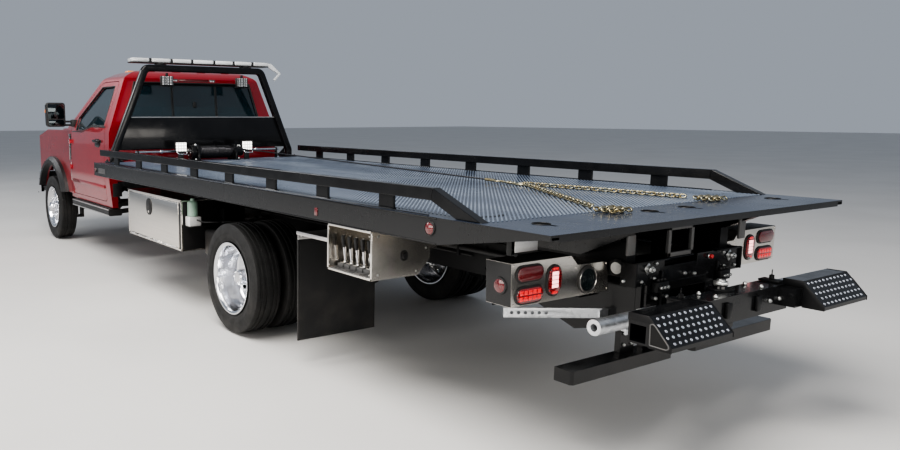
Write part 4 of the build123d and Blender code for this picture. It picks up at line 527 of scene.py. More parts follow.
def outlined(points, thickness, rounding=0.0015, segments=2):
    """A flat outline given by points in space, extruded by a thickness vector."""
    made = fresh(bpy.ops.mesh.primitive_circle_add, vertices=len(points), fill_type="NGON", location=(0, 0, 0))
    for vertex, point in zip(made.data.vertices, points):
        vertex.co = at(point)
    bpy.ops.object.mode_set(mode="EDIT")
    bpy.ops.mesh.select_all(action="SELECT")
    bpy.ops.mesh.extrude_region_move(TRANSFORM_OT_translate={"value": thickness})
    bpy.ops.mesh.select_all(action="SELECT")
    bpy.ops.mesh.normals_make_consistent(inside=False)
    bpy.ops.object.mode_set(mode="OBJECT")
    return rounded(settle(made), rounding, segments)


def turned(profile, middle=HUB, steps=96):
    """A closed profile of (x, radius) points spun about a line along X through the middle."""
    made = fresh(bpy.ops.mesh.primitive_circle_add, vertices=len(profile), fill_type="NOTHING", location=(0, 0, 0))
    for vertex, (x, radius) in zip(made.data.vertices, profile):
        vertex.co = (x, 0, radius)
    bpy.ops.object.mode_set(mode="EDIT")
    bpy.ops.mesh.select_all(action="SELECT")
    bpy.ops.mesh.spin(steps=steps, angle=2 * math.pi, center=(0, 0, 0), axis=(1, 0, 0))
    bpy.ops.mesh.select_all(action="SELECT")
    bpy.ops.mesh.remove_doubles(threshold=0.00001)
    bpy.ops.mesh.normals_make_consistent(inside=False)
    bpy.ops.object.mode_set(mode="OBJECT")
    return settle(placed(made, middle))


def placed(made, middle, turn=0.0, axis="Z"):
    """Turn a piece about an axis through the model's origin, then bring it to its middle."""
    made.data.transform(Matrix.Translation(at(middle)) @ Matrix.Rotation(turn, 4, axis))
    return made


def copy_at(made, move):
    """A copy with a mesh of its own, moved by a vector or placed by a matrix."""
    twin = made.copy()
    twin.data = made.data.copy()
    bpy.context.scene.collection.objects.link(twin)
    twin.data.transform(move if isinstance(move, Matrix) else Matrix.Translation(move))
    return twin


def discard(*objects):
    for made in objects:
        bpy.data.objects.remove(made, do_unlink=True)


def joined(name, parts):
    only(*parts)
    if len(parts) > 1:
        bpy.ops.object.join()
    made = bpy.context.object
    made.name = name
    made.data.name = name
    return made


def cut(made, cutter):
    """Take the cutter's shape out of a piece."""
    only(made)
    tool = made.modifiers.new("cut", "BOOLEAN")
    tool.operation = "DIFFERENCE"
    tool.object = cutter
    tool.solver = "EXACT"
    bpy.ops.object.modifier_apply(modifier=tool.name)
    discard(cutter)
    return made


def press(made, choose, thickness, depth):
    """Inset the chosen faces and push them in (or out, with a positive depth)."""
    only(made)
    for face in made.data.polygons:
        face.select = choose(face)
    bpy.ops.object.mode_set(mode="EDIT")
    bpy.ops.mesh.select_mode(type="FACE")
    bpy.ops.mesh.inset(thickness=thickness, depth=depth, use_individual=False)
    bpy.ops.mesh.select_mode(type="VERT")
    bpy.ops.object.mode_set(mode="OBJECT")
    return made


def fit(name, parts, slot, body="chassis", finish=None, smooth=38.0, instead_of=()):
    """Join parts into one piece and give it its finish, the one named for it or else its slot's, and the body that it
    moves with.
    """
    made = joined(name, parts)
    made.data.materials.clear()
    made.data.materials.append(FINISHES[finish or slot])
    only(made)
    bpy.ops.object.shade_smooth_by_angle(angle=math.radians(smooth))
    slot in SLOTS
    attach(made, body)
    if instead_of:
        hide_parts(*instead_of)


def both_sides(name, parts, slot, body="chassis", finish=None, smooth=38.0, instead_of=()):
    """Left and right pieces of one form. SIDE stands for the side; the left one takes what has no side."""
    left = joined(name + "_left", parts)
    right = copy_at(left, Matrix.Scale(-1, 4, LEFT))
    right.data.flip_normals()
    for made, side in ((left, "left"), (right, "right")):
        nodes = [node.replace("SIDE", side) for node in instead_of if "SIDE" in node or made is left]
        fit(name + "_" + side, [made], slot, body.replace("SIDE", side), finish, smooth, nodes)


def hexagons(size, height, direction, *places):
    """Hexagon nuts with their bolts' ends, standing on a surface."""
    along = Vector(direction).normalized() * height
    made = []
    for start in map(Vector, places):
        made.append(bar(size / 2, start, start + along, 6, size * 0.05))
        made.append(bar(size * 0.27, start, start + along * STUD_REACH, 12, size * 0.03))
    return made


def oval(x, z, width, height, y0, y1, rounding=0.0015, steps=9):
    """A stadium-shaped plate that faces rearwards."""
    radius = min(width, height) / 2
    dx, dz = width / 2 - radius, height / 2 - radius
    seen = []
    same = 0.0005
    for quarter, (sx, sz) in enumerate(((1, 1), (-1, 1), (-1, -1), (1, -1))):
        for k in range(steps):
            angle = math.pi / 2 * (quarter + k / (steps - 1))
            point = Vector((x + sx * dx + radius * math.cos(angle), y0, z + sz * dz + radius * math.sin(angle)))
            if not seen or (point - seen[-1]).length > same:
                seen.append(point)
    if (seen[0] - seen[-1]).length < same:
        seen.pop()
    return outlined(seen, (0, y1 - y0, 0), rounding)


def side_oval(width, height, depth, rounding, middle):
    """A stadium-shaped plate that faces sideways, turned from one at the lamp panels' plane."""
    made = oval(0, 0, width, height, PANEL_FACE, PANEL_FACE + depth, rounding)
    x, y, z = middle
    return placed(made, (x + ORIGIN_Y - PANEL_FACE, y, z), -math.pi / 2)


def turned_rear(profile, middle, steps=40):
    """A ring of (radius, depth) points about a line that points rearwards."""
    return placed(turned([(depth, radius) for radius, depth in profile], HUB, steps), middle, math.pi / 2)


# Wheels

def tyre_form():
    """One tyre about the X axis at the origin: moulded sidewalls and a ribbed tread with side blocks."""
    deep, places = sizes().tread_depth, sizes().tread_blocks * 3
    groove = TYRE_R - deep
    half = [
        (0.0, TYRE_R), (0.021, TYRE_R), (0.0225, groove), (0.0305, groove), (0.032, TYRE_R - 0.0003),
        (0.055, TYRE_R - 0.001), (0.0565, groove), (0.0655, groove), (0.067, TYRE_R - 0.0018),
        (0.082, TYRE_R - 0.0028), (0.096, TYRE_R - 0.0058), (0.102, TYRE_R - 0.014), (0.1035, 0.381),
        (0.1055, 0.377), (0.1095, 0.362), (0.1125, 0.342), (0.1128, 0.327), (0.1138, 0.3255), (0.1138, 0.3225),
        (0.1122, 0.321), (0.1105, 0.306), (0.1072, 0.292), (0.1082, 0.290), (0.1078, 0.2875), (0.104, 0.284),
        (0.0995, 0.274), (0.0975, 0.2655), (0.0925, 0.2622), (0.086, 0.258),
    ]
    made = turned(half + [(-x, r) for x, r in reversed(half[1:])], HUB, places)
    shoulder = TYRE_R - deep * 0.6 - 0.004

    def gap(face):
        x, y, z = face.center
        turn = math.atan2(y, z) / (2 * math.pi) % 1
        return int(turn * places) % 3 == 0 and math.hypot(y, z) > shoulder and abs(x) > 0.068

    return press(made, gap, 0.0012, -deep * 0.8)


def nut_circle(count, circle, size, height, x):
    """Nuts in a circle about the X axis, facing outwards."""
    first = joined("nut", hexagons(size, height, LEFT, (x, ORIGIN_Y, circle)))
    return joined("nuts", [first] + [copy_at(first, Matrix.Rotation(2 * math.pi * k / count, 4, "X"))
                                     for k in range(1, count)])


def rim_form(disc_x, dish, half=0.1):
    """A forged rim about the X axis: lips, drop centre and a dished disc with ten round hand holes."""
    lip = [(0.0, 0.262), (0.004, 0.2625), (0.008, 0.258), (0.012, 0.246), (0.03, 0.240), (0.05, 0.2385)]
    bead = [(0.0, 0.256), (0.004, 0.246), (0.010, 0.238), (0.026, 0.232)]
    near, low, high = disc_x + 0.009, disc_x + dish * 0.32, disc_x + dish * 0.86
    made = turned(
        [(x - half, r) for x, r in lip] + [(-0.02, 0.230), (0.02, 0.230)]
        + [(half - x, r) for x, r in lip[::-1] + bead]
        + [(disc_x + dish + 0.020, 0.2275), (near + dish, 0.220), (high + 0.009, 0.210), (low + 0.009, 0.166),
           (near + 0.006, 0.148), (near, 0.142), (near, 0.083), (disc_x, 0.083), (disc_x, 0.142),
           (disc_x + 0.004, 0.150), (low, 0.168), (high, 0.212), (disc_x + dish - 0.004, 0.2215),
           (min(disc_x + dish - 0.02, half - 0.04), 0.2265)]
        + [(x - half, r) for x, r in bead[::-1]], HUB, 80)
    holes = []
    for k in range(10):
        angle = 2 * math.pi * (k + 0.5) / 10
        y, z = ORIGIN_Y + 0.187 * math.sin(angle), 0.187 * math.cos(angle)
        holes.append(bar(0.0195, (disc_x - 0.07, y, z), (disc_x + 0.07, y, z), 24, 0))
    return rounded(cut(made, joined("holes", holes)), 0.0012, 2, 50)


def wheel_set():
    """Front and rear wheels with their nuts, hub caps and tyres, for both sides."""
    tyre = tyre_form()
    nut = nut_circle(sizes().wheel_nuts, 0.1125, 0.033, 0.026, 0)
    front = [
        rim_form(0.062, -0.022),
        turned([(0.02, 0.083), (0.10, 0.083), (0.106, 0.078), (0.108, 0.062), (0.128, 0.060), (0.136, 0.056),
                (0.140, 0.046), (0.1415, 0.022), (0.147, 0.021), (0.149, 0.017), (0.149, 0.0005), (0.02, 0.0005)],
               HUB, 48),
        copy_at(nut, (0.0705, 0, 0)),
        bar(0.004, (0.078, ORIGIN_Y, 0.222), (0.095, ORIGIN_Y, 0.212), 10, 0.0005)]
    outer = rim_form(-0.127, 0.030)
    rear = [
        outer, copy_at(outer, Matrix.Translation((-0.254, 0, 0)) @ Matrix.Rotation(math.pi, 4, "Z")),
        turned([(-0.36, 0.0835), (-0.10, 0.0835), (-0.085, 0.079), (-0.082, 0.070), (-0.034, 0.064),
                (-0.026, 0.060), (0.010, 0.057), (0.032, 0.054), (0.040, 0.046), (0.0435, 0.030), (0.044, 0.0005),
                (-0.36, 0.0005)], HUB, 48),
        copy_at(nut, (-0.1175, 0, 0)), nut_circle(8, 0.045, 0.013, 0.006, 0.0395),
        bar(0.004, (-0.085, ORIGIN_Y, 0.224), (0.03, ORIGIN_Y, 0.214), 10, 0.0005)]
    for end, rim, rim_node, tyre_node, y, tracks in (
            ("front", front, "wheel_front_SIDE", "tyre_front_SIDE", 0.0, (0.95,)),
            ("rear", rear, "wheels_rear_SIDE", "tyres_rear_SIDE", WHEELBASE, (0.813, 1.067))):
        rim = placed(joined("rim", rim), (tracks[-1], y, AXLE_Z))
        tyres = [copy_at(tyre, at((x, y, AXLE_Z))) for x in tracks]
        for node, parts, slot, smooth in ((rim_node, [rim], "polished_aluminium", 32),
                                          (tyre_node, tyres, "tyre_rubber", 30)):
            both_sides("dressed_" + node[:-5], parts, slot, "wheel_" + end + "_SIDE", None, smooth, [node])
    discard(tyre, nut)


# Chain and cable on the deck

LINK_PITCH = 0.03
CHAIN_RUNS = ((-0.398, 6.52, 0.352, 7.64), (-0.419, 6.52, -0.530, 7.60))
CHAIN_HEAPS = ((0.372, 7.745), (-0.545, 7.705))
PEAR = (-0.41, 6.473)


def link_form(wire, length=0.05, width=0.034):
    """A round-wire chain link lying flat about the origin, its length along X."""
    bend = (width - wire) / 2
    link = loop(bend, wire / 2, HUB, rounds=10, sides=7)
    for vertex in link.data.vertices:
        vertex.co.x += (length - width) / 2 * max(-1.0, min(1.0, vertex.co.x / (bend * 0.32)))
    return link


def chain():
    """Both legs of the chain and their heaps, in the solids' place, with the pear link."""
    wire = sizes().wire
    link = link_form(wire)
    lift = DECK_Z + 0.0003 + (0.034 + wire) * math.sqrt(0.125)
    rows = [(x0, y0, math.atan2(y1 - y0, x1 - x0), int(math.hypot(x1 - x0, y1 - y0) / LINK_PITCH), 0.002)
            for x0, y0, x1, y1 in CHAIN_RUNS]
    rows += [(x - LINK_PITCH * 2.5, y + k * 0.044, 0, 5, 0.005) for x, y in CHAIN_HEAPS for k in (-1, 0, 1)]
    links = []
    for x, y, heading, count, sway in rows:
        start = Matrix.Translation(at((x, y, lift))) @ Matrix.Rotation(heading, 4, "Z")
        for k in range(count):
            along = Matrix.Translation((LINK_PITCH * k, sway * math.sin(k * 1.9 + x * 7), 0))
            links.append(copy_at(link, start @ along @ Matrix.Rotation(math.radians(90 * (k % 2) - 45), 4, "X")))
    discard(link)
    pear = loop(0.036, 0.0078, (*PEAR, DECK_Z + 0.0083), rounds=28)
    for vertex in pear.data.vertices:
        along = vertex.co.y + ORIGIN_Y - PEAR[1]
        vertex.co.y += along * 0.35
        vertex.co.x = PEAR[0] + (vertex.co.x - PEAR[0]) * (1 + along * 5)
    fit("dressed_tie_chain", links + [pear], "gold_zinc", "bed", None, 60, ["tie_chain"])


# Bed

RACK_Y = 2.405
WINCH_PLACE = (2.6, 1.19)
CABLE_PATH = ((0.0, 2.6, 1.2563), (-0.39, 6.25, 1.12))
RIB_LOW, RIB_HIGH = (-1.13, 2.44), (1.13, 7.69)
POSTS = [2.87 + 0.59 * k for k in range(8)]
KEYHOLES = [(x * sign, y) for sign in SIGNS for x, y in ((0.976, 7.835), (0.158, 7.814))]


def soften(width, *names):
    """Rounded edges on nodes of the frame, whose flat faces are made whole first."""
    for name in names:
        node = NODES[name]
        weld = node.modifiers.new("weld", "WELD")
        weld.merge_threshold = 0.00002
        flat = node.modifiers.new("flat", "DECIMATE")
        flat.decimate_type = "DISSOLVE"
        flat.angle_limit = math.radians(1.0)
        edge = node.modifiers.new("rounding", "BEVEL")
        edge.width = width
        edge.segments = 2
        edge.limit_method = "ANGLE"
        edge.angle_limit = math.radians(40)


def soften_all():
    width = sizes().edge_round
    soften(width, "side_rails", "crossbar", "lift_arm", "stinger", "running_boards", "control_boxes")
    soften(width * 0.7, "toolboxes", "tail_panels", "stowed_bar", "mud_flaps", "tail_frame")


def deck_ribs():
    """Raised ribs that slant across the deck, cut off along its plain borders and the tail plate."""
    pitch = sizes().rib_pitch
    low, high = Vector(RIB_LOW), Vector(RIB_HIGH)
    reach = sum(high - low) / 2 / math.sqrt(2)
    first = settle(fresh(bpy.ops.mesh.primitive_cube_add, size=1, location=(0, 0, 0.0005),
                         scale=(pitch * 0.62, 2 * reach, 0.0042)))
    for vertex in first.data.vertices:
        if vertex.co.z > 0:
            vertex.co.x *= 0.5
    ribs = [copy_at(first, (-reach + (k + 0.5) * pitch, 0, 0)) for k in range(int(2 * reach / pitch) + 1)]
    discard(first)
    made = placed(joined("deck_ribs", ribs), (*(low + high) / 2, DECK_Z), -math.pi / 4)
    for point, way in ((RIB_HIGH, 1), (RIB_LOW, -1)):
        for normal in (LEFT, REAR):
            bpy.ops.object.mode_set(mode="EDIT")
            bpy.ops.mesh.select_all(action="SELECT")
            bpy.ops.mesh.bisect(plane_co=at((*point, 0)), plane_no=Vector(normal) * way, use_fill=True,
                                clear_outer=True)
            bpy.ops.object.mode_set(mode="OBJECT")
    fit("deck_ribs", [made], "deck_black", "bed", None, 30)


def deck_details():
    """Weld beads, and the chain slots and keyholes of the tail plate with their rims; the slots are flat near-black
    patches and dark boxes lie under the keyholes, both painted shade.
    """
    beads, slots = [], []
    for sign in SIGNS:
        beads.append(bar(0.004, (sign * 1.197, 2.46, DECK_TOP), (sign * 1.197, 7.35, DECK_TOP), 8, 0))
        for x in (sign * 1.1615, sign * 1.1785):
            beads += [bar(0.0035, (x, y - 0.06, 1.1015), (x, y + 0.06, 1.1015), 8, 0) for y in POSTS]
        for k in range(9):
            turn = math.radians(-38 + k * 9.5)
            x, y = sign * (0.953 + math.sin(turn) * 0.11), 7.47 + math.cos(turn) * 0.075
            slots.append(block((x - 0.012, y - 0.009, 1.0998), (x + 0.012, y + 0.009, 1.1012), 0))
    rims = [loop(0.0395, 0.003, (x, y, 1.1003), rounds=32, sides=6) for x, y in KEYHOLES]
    # Painted shade: dark boxes under the keyholes, seen through the holes.
    painted_shade_boxes = [block((x - 0.09, y - 0.06, 1.062), (x + 0.09, y + 0.06, 1.074)) for x, y in KEYHOLES]
    fit("bed_weld_beads", beads, "gloss_black", "bed")
    # The arc slots are flat near-black patches of painted shade.
    fit("bed_arc_slots", slots, "gloss_black", "bed", "dark_gap")
    fit("bed_keyhole_rims", rims, "gloss_black", "bed", "black_frame")
    fit("bed_keyhole_painted_shade_boxes", painted_shade_boxes, "gloss_black", "bed", "dark_gap")


def channel_details():
    """Lamps, reflectors and blank labels along the bed's side channels, and the flange edges."""
    face = BED_HALF
    lamps, rings = [], []
    for y, z, r in ((7.385, 1.044, 0.03), (2.375, 1.03, 0.018)):
        rings.append(turned([(0, r + 0.008), (0.007, r + 0.006), (0.007, r), (0, r)], (face, y, z), 36))
        lamps.append(turned([(0, r), (0.005, r - 0.001), (0.011, r * 0.6), (0.0125, TIP), (0, TIP)],
                            (face, y, z), 36))
    both_sides("bed_side_lamps", lamps, "red_lamp", "bed")
    both_sides("bed_side_lamp_rings", rings, "black_plastic", "bed")
    # The reflectors take the red lamp finish, whose faint glow is painted light.
    both_sides("bed_side_reflectors", [block((face, 6.40, 1.0), (face + 0.004, 6.43, 1.045), 0.0015)],
               "red_lamp", "bed")
    both_sides("bed_blank_labels", [block((face, 2.45, 1.0), (face + 0.0012, 2.66, 1.052), 0.0004)],
               "black_plastic", "bed", "grey_label")
    both_sides("bed_channel_flanges", [
        block((face - 0.05, BED_FRONT, z - 0.004), (face + 0.0035, 7.43, z + 0.004)) for z in (0.974, 1.094)],
        "gloss_black", "bed")


def filleted(points, radii, steps=7):
    """A line of (x, z) points whose corners are turned by radii."""
    made = [points[0]]
    for before, corner, after, radius in zip(points, points[1:], points[2:], radii):
        corner = Vector(corner)
        a, b = (Vector(before) - corner).normalized(), (Vector(after) - corner).normalized()
        half = a.angle(b) / 2
        centre = corner + (a + b).normalized() * (radius / math.sin(half))
        start, end = [(corner + way * (radius / math.tan(half)) - centre).normalized() for way in (a, b)]
        made += [tuple(centre + start.slerp(end, k / steps) * radius) for k in range(steps + 1)]
    return made + [points[-1]]


def rack_hoop():
    """The rack's bent tube hoop and its closed panel low down."""
    tube, foot, knee, top_x, top_z = 0.068, 1.075, 1.19, 0.70, 2.09
    lean = (foot - top_x) / (top_z - knee)
    ring = []
    for way, low, bend, high, top, radii in (
            (1, foot, knee, top_x, top_z, (0.06, 0.10, 0.10, 0.06)),
            (-1, foot - tube, knee - 0.015, top_x - tube * 0.72, top_z - tube, (0.06, 0.045, 0.045, 0.06))):
        right = [(low, DECK_TOP), (low, bend), (high, top)]
        ring += filleted(right + [(-x, z) for x, z in right[::-1]], radii)[::way]
    low, high = [foot - tube / 2 - lean * (z - knee) for z in (1.22, 1.55)]
    sheet = ((-low, 1.22), (low, 1.22), (high, 1.55), (-high, 1.55))
    fit("rack_hoop", [
        outlined([(x, RACK_Y - tube / 2, z) for x, z in ring], (0, tube, 0), 0.014, 3),
        outlined([(x, RACK_Y - 0.008, z) for x, z in sheet], (0, 0.016, 0), 0.001)],
        "gloss_black", "bed", instead_of=["headache_rack"])


def rack_details():
    """The rack with its panel's light top edge, ribs, gussets, feet and the plates that hold the lamps."""
    rack_hoop()
    fit("rack_panel_edge", [bar(0.006, (-0.895, RACK_Y + 0.008, 1.553), (0.895, RACK_Y + 0.008, 1.553), 12, 0)],
        "gloss_black", "bed", "satin_stainless")
    black = [block_at(x, 0.012, (RACK_Y - 0.014, 1.235), (RACK_Y - 0.008, 1.54), 0.001)
             for x in (-0.6, -0.3, 0.0, 0.3, 0.6)]
    for sign in SIGNS:
        foot = sign * 1.035
        black += hexagons(0.022, 0.011, UP, *[(foot + dx, y, 1.113) for dx in (-0.055, 0.055) for y in (2.35, 2.46)])
        black += [
            block_at(foot, 0.075, (2.33, DECK_TOP), (2.48, 1.113)),
            outlined([(sign * x, RACK_Y - 0.003, z) for x, z in ((0.995, 1.113), (0.88, 1.113), (0.985, 1.21))],
                     (0, 0.006, 0)),
            block_at(sign * 0.5, 0.05, (2.27, 2.088), (2.43, 2.096), 0.001),
            block_at(sign * 0.44, 0.082, (2.392, 1.872), (2.42, 1.879), 0.001)]
    fit("rack_fittings", black, "gloss_black", "bed")


def light_bar():
    """A low light bar: black tray, clear domes over LED modules, a corner lamp and feet."""
    z0, z1 = 2.112, 2.158
    domes = ((-0.80, -0.612), (-0.588, -0.377), (-0.353, -0.142), (-0.118, 0.118), (0.142, 0.353),
             (0.377, 0.588), (0.612, 0.80))
    fit("bar_tray", [block_at(0, 0.80, (2.236, z0 - 0.004), (2.374, z0 + 0.01), 0.004)] + [
        block_at(x, 0.012, (2.236, z0 + 0.01), (2.374, z1 + 0.0005), 0.004)
        for x in (-0.60, -0.365, -0.13, 0.13, 0.365, 0.60)], "black_plastic", "bed")
    fit("bar_modules", [block_at(-0.72 + k * 0.12, 0.05, (2.246, z0 + 0.011), (2.364, z1 - 0.008))
                        for k in range(13)], "clear_lamp", "bed", "led_white")
    fit("bar_domes", [block((a, 2.231, z0 + 0.004), (b, 2.379, z1), 0.012, 3) for a, b in domes],
        "clear_lamp", "bed", "bar_dome")
    fit("bar_feet", [block_at(x, 0.03, (2.30, 2.0903), (2.42, 2.11)) for x in (-0.5, 0.5)],
        "black_plastic", "bed", instead_of=["bed_lamps"])
    corner = ((-0.800, 2.150), (-0.85, 2.152), (-0.985, 2.045), (-0.905, 1.962), (-0.888, 1.975), (-0.95, 2.04),
              (-0.80, 2.118))
    fit("bar_corner_lamp", [outlined([(x, 2.32, z) for x, z in corner], (0, 0.03, 0), 0.004)],
        "clear_lamp", "bed", "bar_dome")


def work_lamps():
    """Two square LED work lamps under the rack's top tube, and two lit lamps at the winch."""
    bodies, faces, lit, frames, chrome = [], [], [], [], []
    for x in (-0.44, 0.44):
        bodies.append(block_at(x, 0.07, (2.384, 1.885), (2.423, 1.978), 0.006))
        bodies += [block_at(x - 0.056 + k * 0.028, 0.004, (2.370, 1.895), (2.385, 1.968), 0.001) for k in range(5)]
        bodies.append(block_at(x, 0.012, (2.395, 1.978), (2.415, 2.009), 0.001))
        faces += [block_at(x + dx, 0.017, (2.423, z - 0.0125), (2.4285, z + 0.0125))
                  for dx in (-0.041, 0.0, 0.041) for z in (1.9015, 1.9315, 1.9615)]
    for x in (-0.388, 0.388):
        lit.append(block_at(x, 0.058, (2.613, 1.206), (2.6195, 1.294), 0.006))
        frames.append(block_at(x, 0.064, (2.582, 1.2), (2.614, 1.3), 0.008))
        frames.append(block_at(x, 0.030, (2.592, DECK_TOP), (2.608, 1.2)))
        half = ((0.055, 2.6, 1.2), (0.055, 2.63, 1.196), (0.045, 2.66, 1.175))
        chrome += bars(0.005, [(x - dx, y, z) for dx, y, z in half] + [(x + dx, y, z) for dx, y, z in half[::-1]],
                       12, 0)
    fit("work_lamp_cases", bodies, "black_plastic", "bed")
    fit("work_lamp_leds", faces, "clear_lamp", "bed", "led_white")
    fit("winch_lamp_cases", frames, "black_plastic", "bed")
    fit("winch_lamp_handles", chrome, "cylinder_chrome", "bed")
    fit("winch_lamp_glasses", lit, "clear_lamp", "bed", "lit_white")


def winch_dress():
    """Worm winch: side plates with bolts, wound drum, gearbox with fins, motor, rod with collars."""
    y, z = WINCH_PLACE
    black, bolts = [], []

    def across(radius, x0, x1, sides=40, rounding=0.001, middle=(y, z)):
        return bar(radius, (x0, *middle), (x1, *middle), sides, rounding)

    for sign in SIGNS:
        side, foot = sign * 0.206, sign * 0.236
        plate = ((-0.1, DECK_TOP), (0.1, DECK_TOP), (0.1, 1.19), (0.055, 1.268), (-0.055, 1.268), (-0.1, 1.19))
        black += [
            outlined([(side, y + dy, height) for dy, height in plate], (sign * 0.026, 0, 0), 0.003),
            block_at(foot, 0.03, (y - 0.1, DECK_TOP), (y + 0.1, 1.112)),
            turned([(0, 0.084), (0.012, 0.084), (0.012, 0.03), (0, 0.03)], (sign * 0.201 - 0.006, y, z), 48)]
        bolts += hexagons(0.024, 0.013, UP, (sign * 0.252, y - 0.08, 1.112), (sign * 0.252, y + 0.08, 1.112))
        turns = [math.pi * k / 3 for k in range(6)]
        bolts += hexagons(0.017, 0.008, (sign, 0, 0), *[
            (sign * 0.232, y + 0.052 * math.cos(turn), z + 0.052 * math.sin(turn)) for turn in turns])
    turns = [2 * math.pi * k / 3 for k in range(3)]
    bolts += hexagons(0.013, 0.006, LEFT, *[
        (0.291, y + 0.036 * math.cos(turn), z + 0.036 * math.sin(turn)) for turn in turns])
    bolts += [bar(0.011, (-0.29, y + dy, z + 0.048), (-0.29, y + dy, z + 0.066), 6) for dy in (-0.02, 0.02)]
    bolts += [bar(0.006, (0.262, y + 0.02, 1.262), (0.262, y + 0.095, 1.27), 14),
              bar(0.012, (0.262, y + 0.075, 1.268), (0.262, y + 0.1, 1.2705), 18, 0.003)]
    gearbox = [across(0.074, 0.232, 0.285, 40, 0.004), across(0.05, 0.285, 0.291, 32, 0.002),
               across(0.05, -0.325, -0.232, 40, 0.003), across(0.054, -0.262, -0.248, 40, 0.002)]
    gearbox += [across(0.077, 0.238 + k * 0.012, 0.242 + k * 0.012) for k in range(4)]
    rod_y, rod_z = rod = (2.5, 1.2)
    black += [block_at(x, 0.01, (rod_y - 0.015, DECK_TOP), (rod_y + 0.015, 1.216), 0.003) for x in (-0.82, 0.82)]
    rods = [across(0.0118, -0.85, 0.85, 24, 0.001, rod)]
    rods += [across(0.0195, x - 0.015, x + 0.015, 24, 0.002, rod) for x in (-0.56, 0.56, -0.3, 0.3)]
    rods.append(across(0.017, -0.17, 0.17, 28, 0.002, (rod_y, rod_z + 0.001)))
    count = 22
    wraps = [loop(0.0605, 0.0062, (-0.17 + 0.34 * (k + 0.5) / count, y, z), (0, math.pi / 2, 0), 40, 8)
             for k in range(count)]
    fit("winch_body", black + gearbox, "winch_metal", "bed", instead_of=["winch"])
    fit("winch_bolts", bolts, "winch_metal", "bed", "bolt_zinc")
    fit("winch_rod", rods, "cylinder_chrome", "bed")
    fit("winch_drum_wraps", wraps + [across(0.058, -0.196, 0.196, 40, 0)], "wire_rope", "bed", "steel_wraps", 60)
    fit("winch_air_line", [bar(0.004, (0.262, y - 0.02, 1.262), (0.262, y - 0.09, 1.21), 10, 0)],
        "hose_rubber", "bed")


def cable_dress():
    """The taut cable: six twisted strands about its line, with a sleeve, an eye and a hook."""
    a, b = map(Vector, CABLE_PATH)
    along = (b - a).normalized()
    side = along.cross(Vector(UP)).normalized()
    up = side.cross(along)
    length = (b - a).length
    turns = length / 0.09
    count = int(turns * 10)
    strands = []
    for strand in range(6):
        curve = bpy.data.curves.new("strand", "CURVE")
        curve.dimensions = "3D"
        curve.bevel_depth = 0.0021
        curve.bevel_resolution = 1
        spline = curve.splines.new("POLY")
        spline.points.add(count)
        for k in range(count + 1):
            angle = 2 * math.pi * (turns * k / count + strand / 6)
            place = a + along * (length * k / count) + (side * math.cos(angle) + up * math.sin(angle)) * 0.0039
            spline.points[k].co = (*at(place), 1)
        made = bpy.data.objects.new("strand", curve)
        bpy.context.scene.collection.objects.link(made)
        only(made)
        bpy.ops.object.convert(target="MESH")
        strands.append(bpy.context.object)
    fit("dressed_winch_cable", strands, "wire_rope", "bed", "steel_wraps", 60, ["winch_cable"])
    tail = b + along * 0.1
    eye = loop(0.021, 0.006, HUB, rounds=28)
    place = at(b + along * 0.03 - Vector((0, 0, 0.002)))
    eye.data.transform(Matrix.Translation(place) @ along.to_track_quat("Y", "Z").to_matrix().to_4x4())
    hook = []
    for k in range(9):
        angle = math.radians(-60 + k * 32)
        hook.append(tail + along * (0.045 - 0.028 * math.cos(angle)) + side * 0.028 * math.sin(angle))
    fittings = [bar(0.011, b - along * 0.08, b + along * 0.005, 20, 0.002), eye,
                bar(0.008, b + along * 0.05, tail + Vector((0, 0.012, -0.003)), 16, 0.002),
                *bars(0.0085, hook, 12, 0.0025)]
    for made in fittings:
        sunk = DECK_Z + 0.001 - min(v.co.z for v in made.data.vertices)
        if sunk > 0:
            made.data.transform(Matrix.Translation((0, 0, sunk)))
    fit("cable_hook", fittings, "gold_zinc", "bed")


# Tail

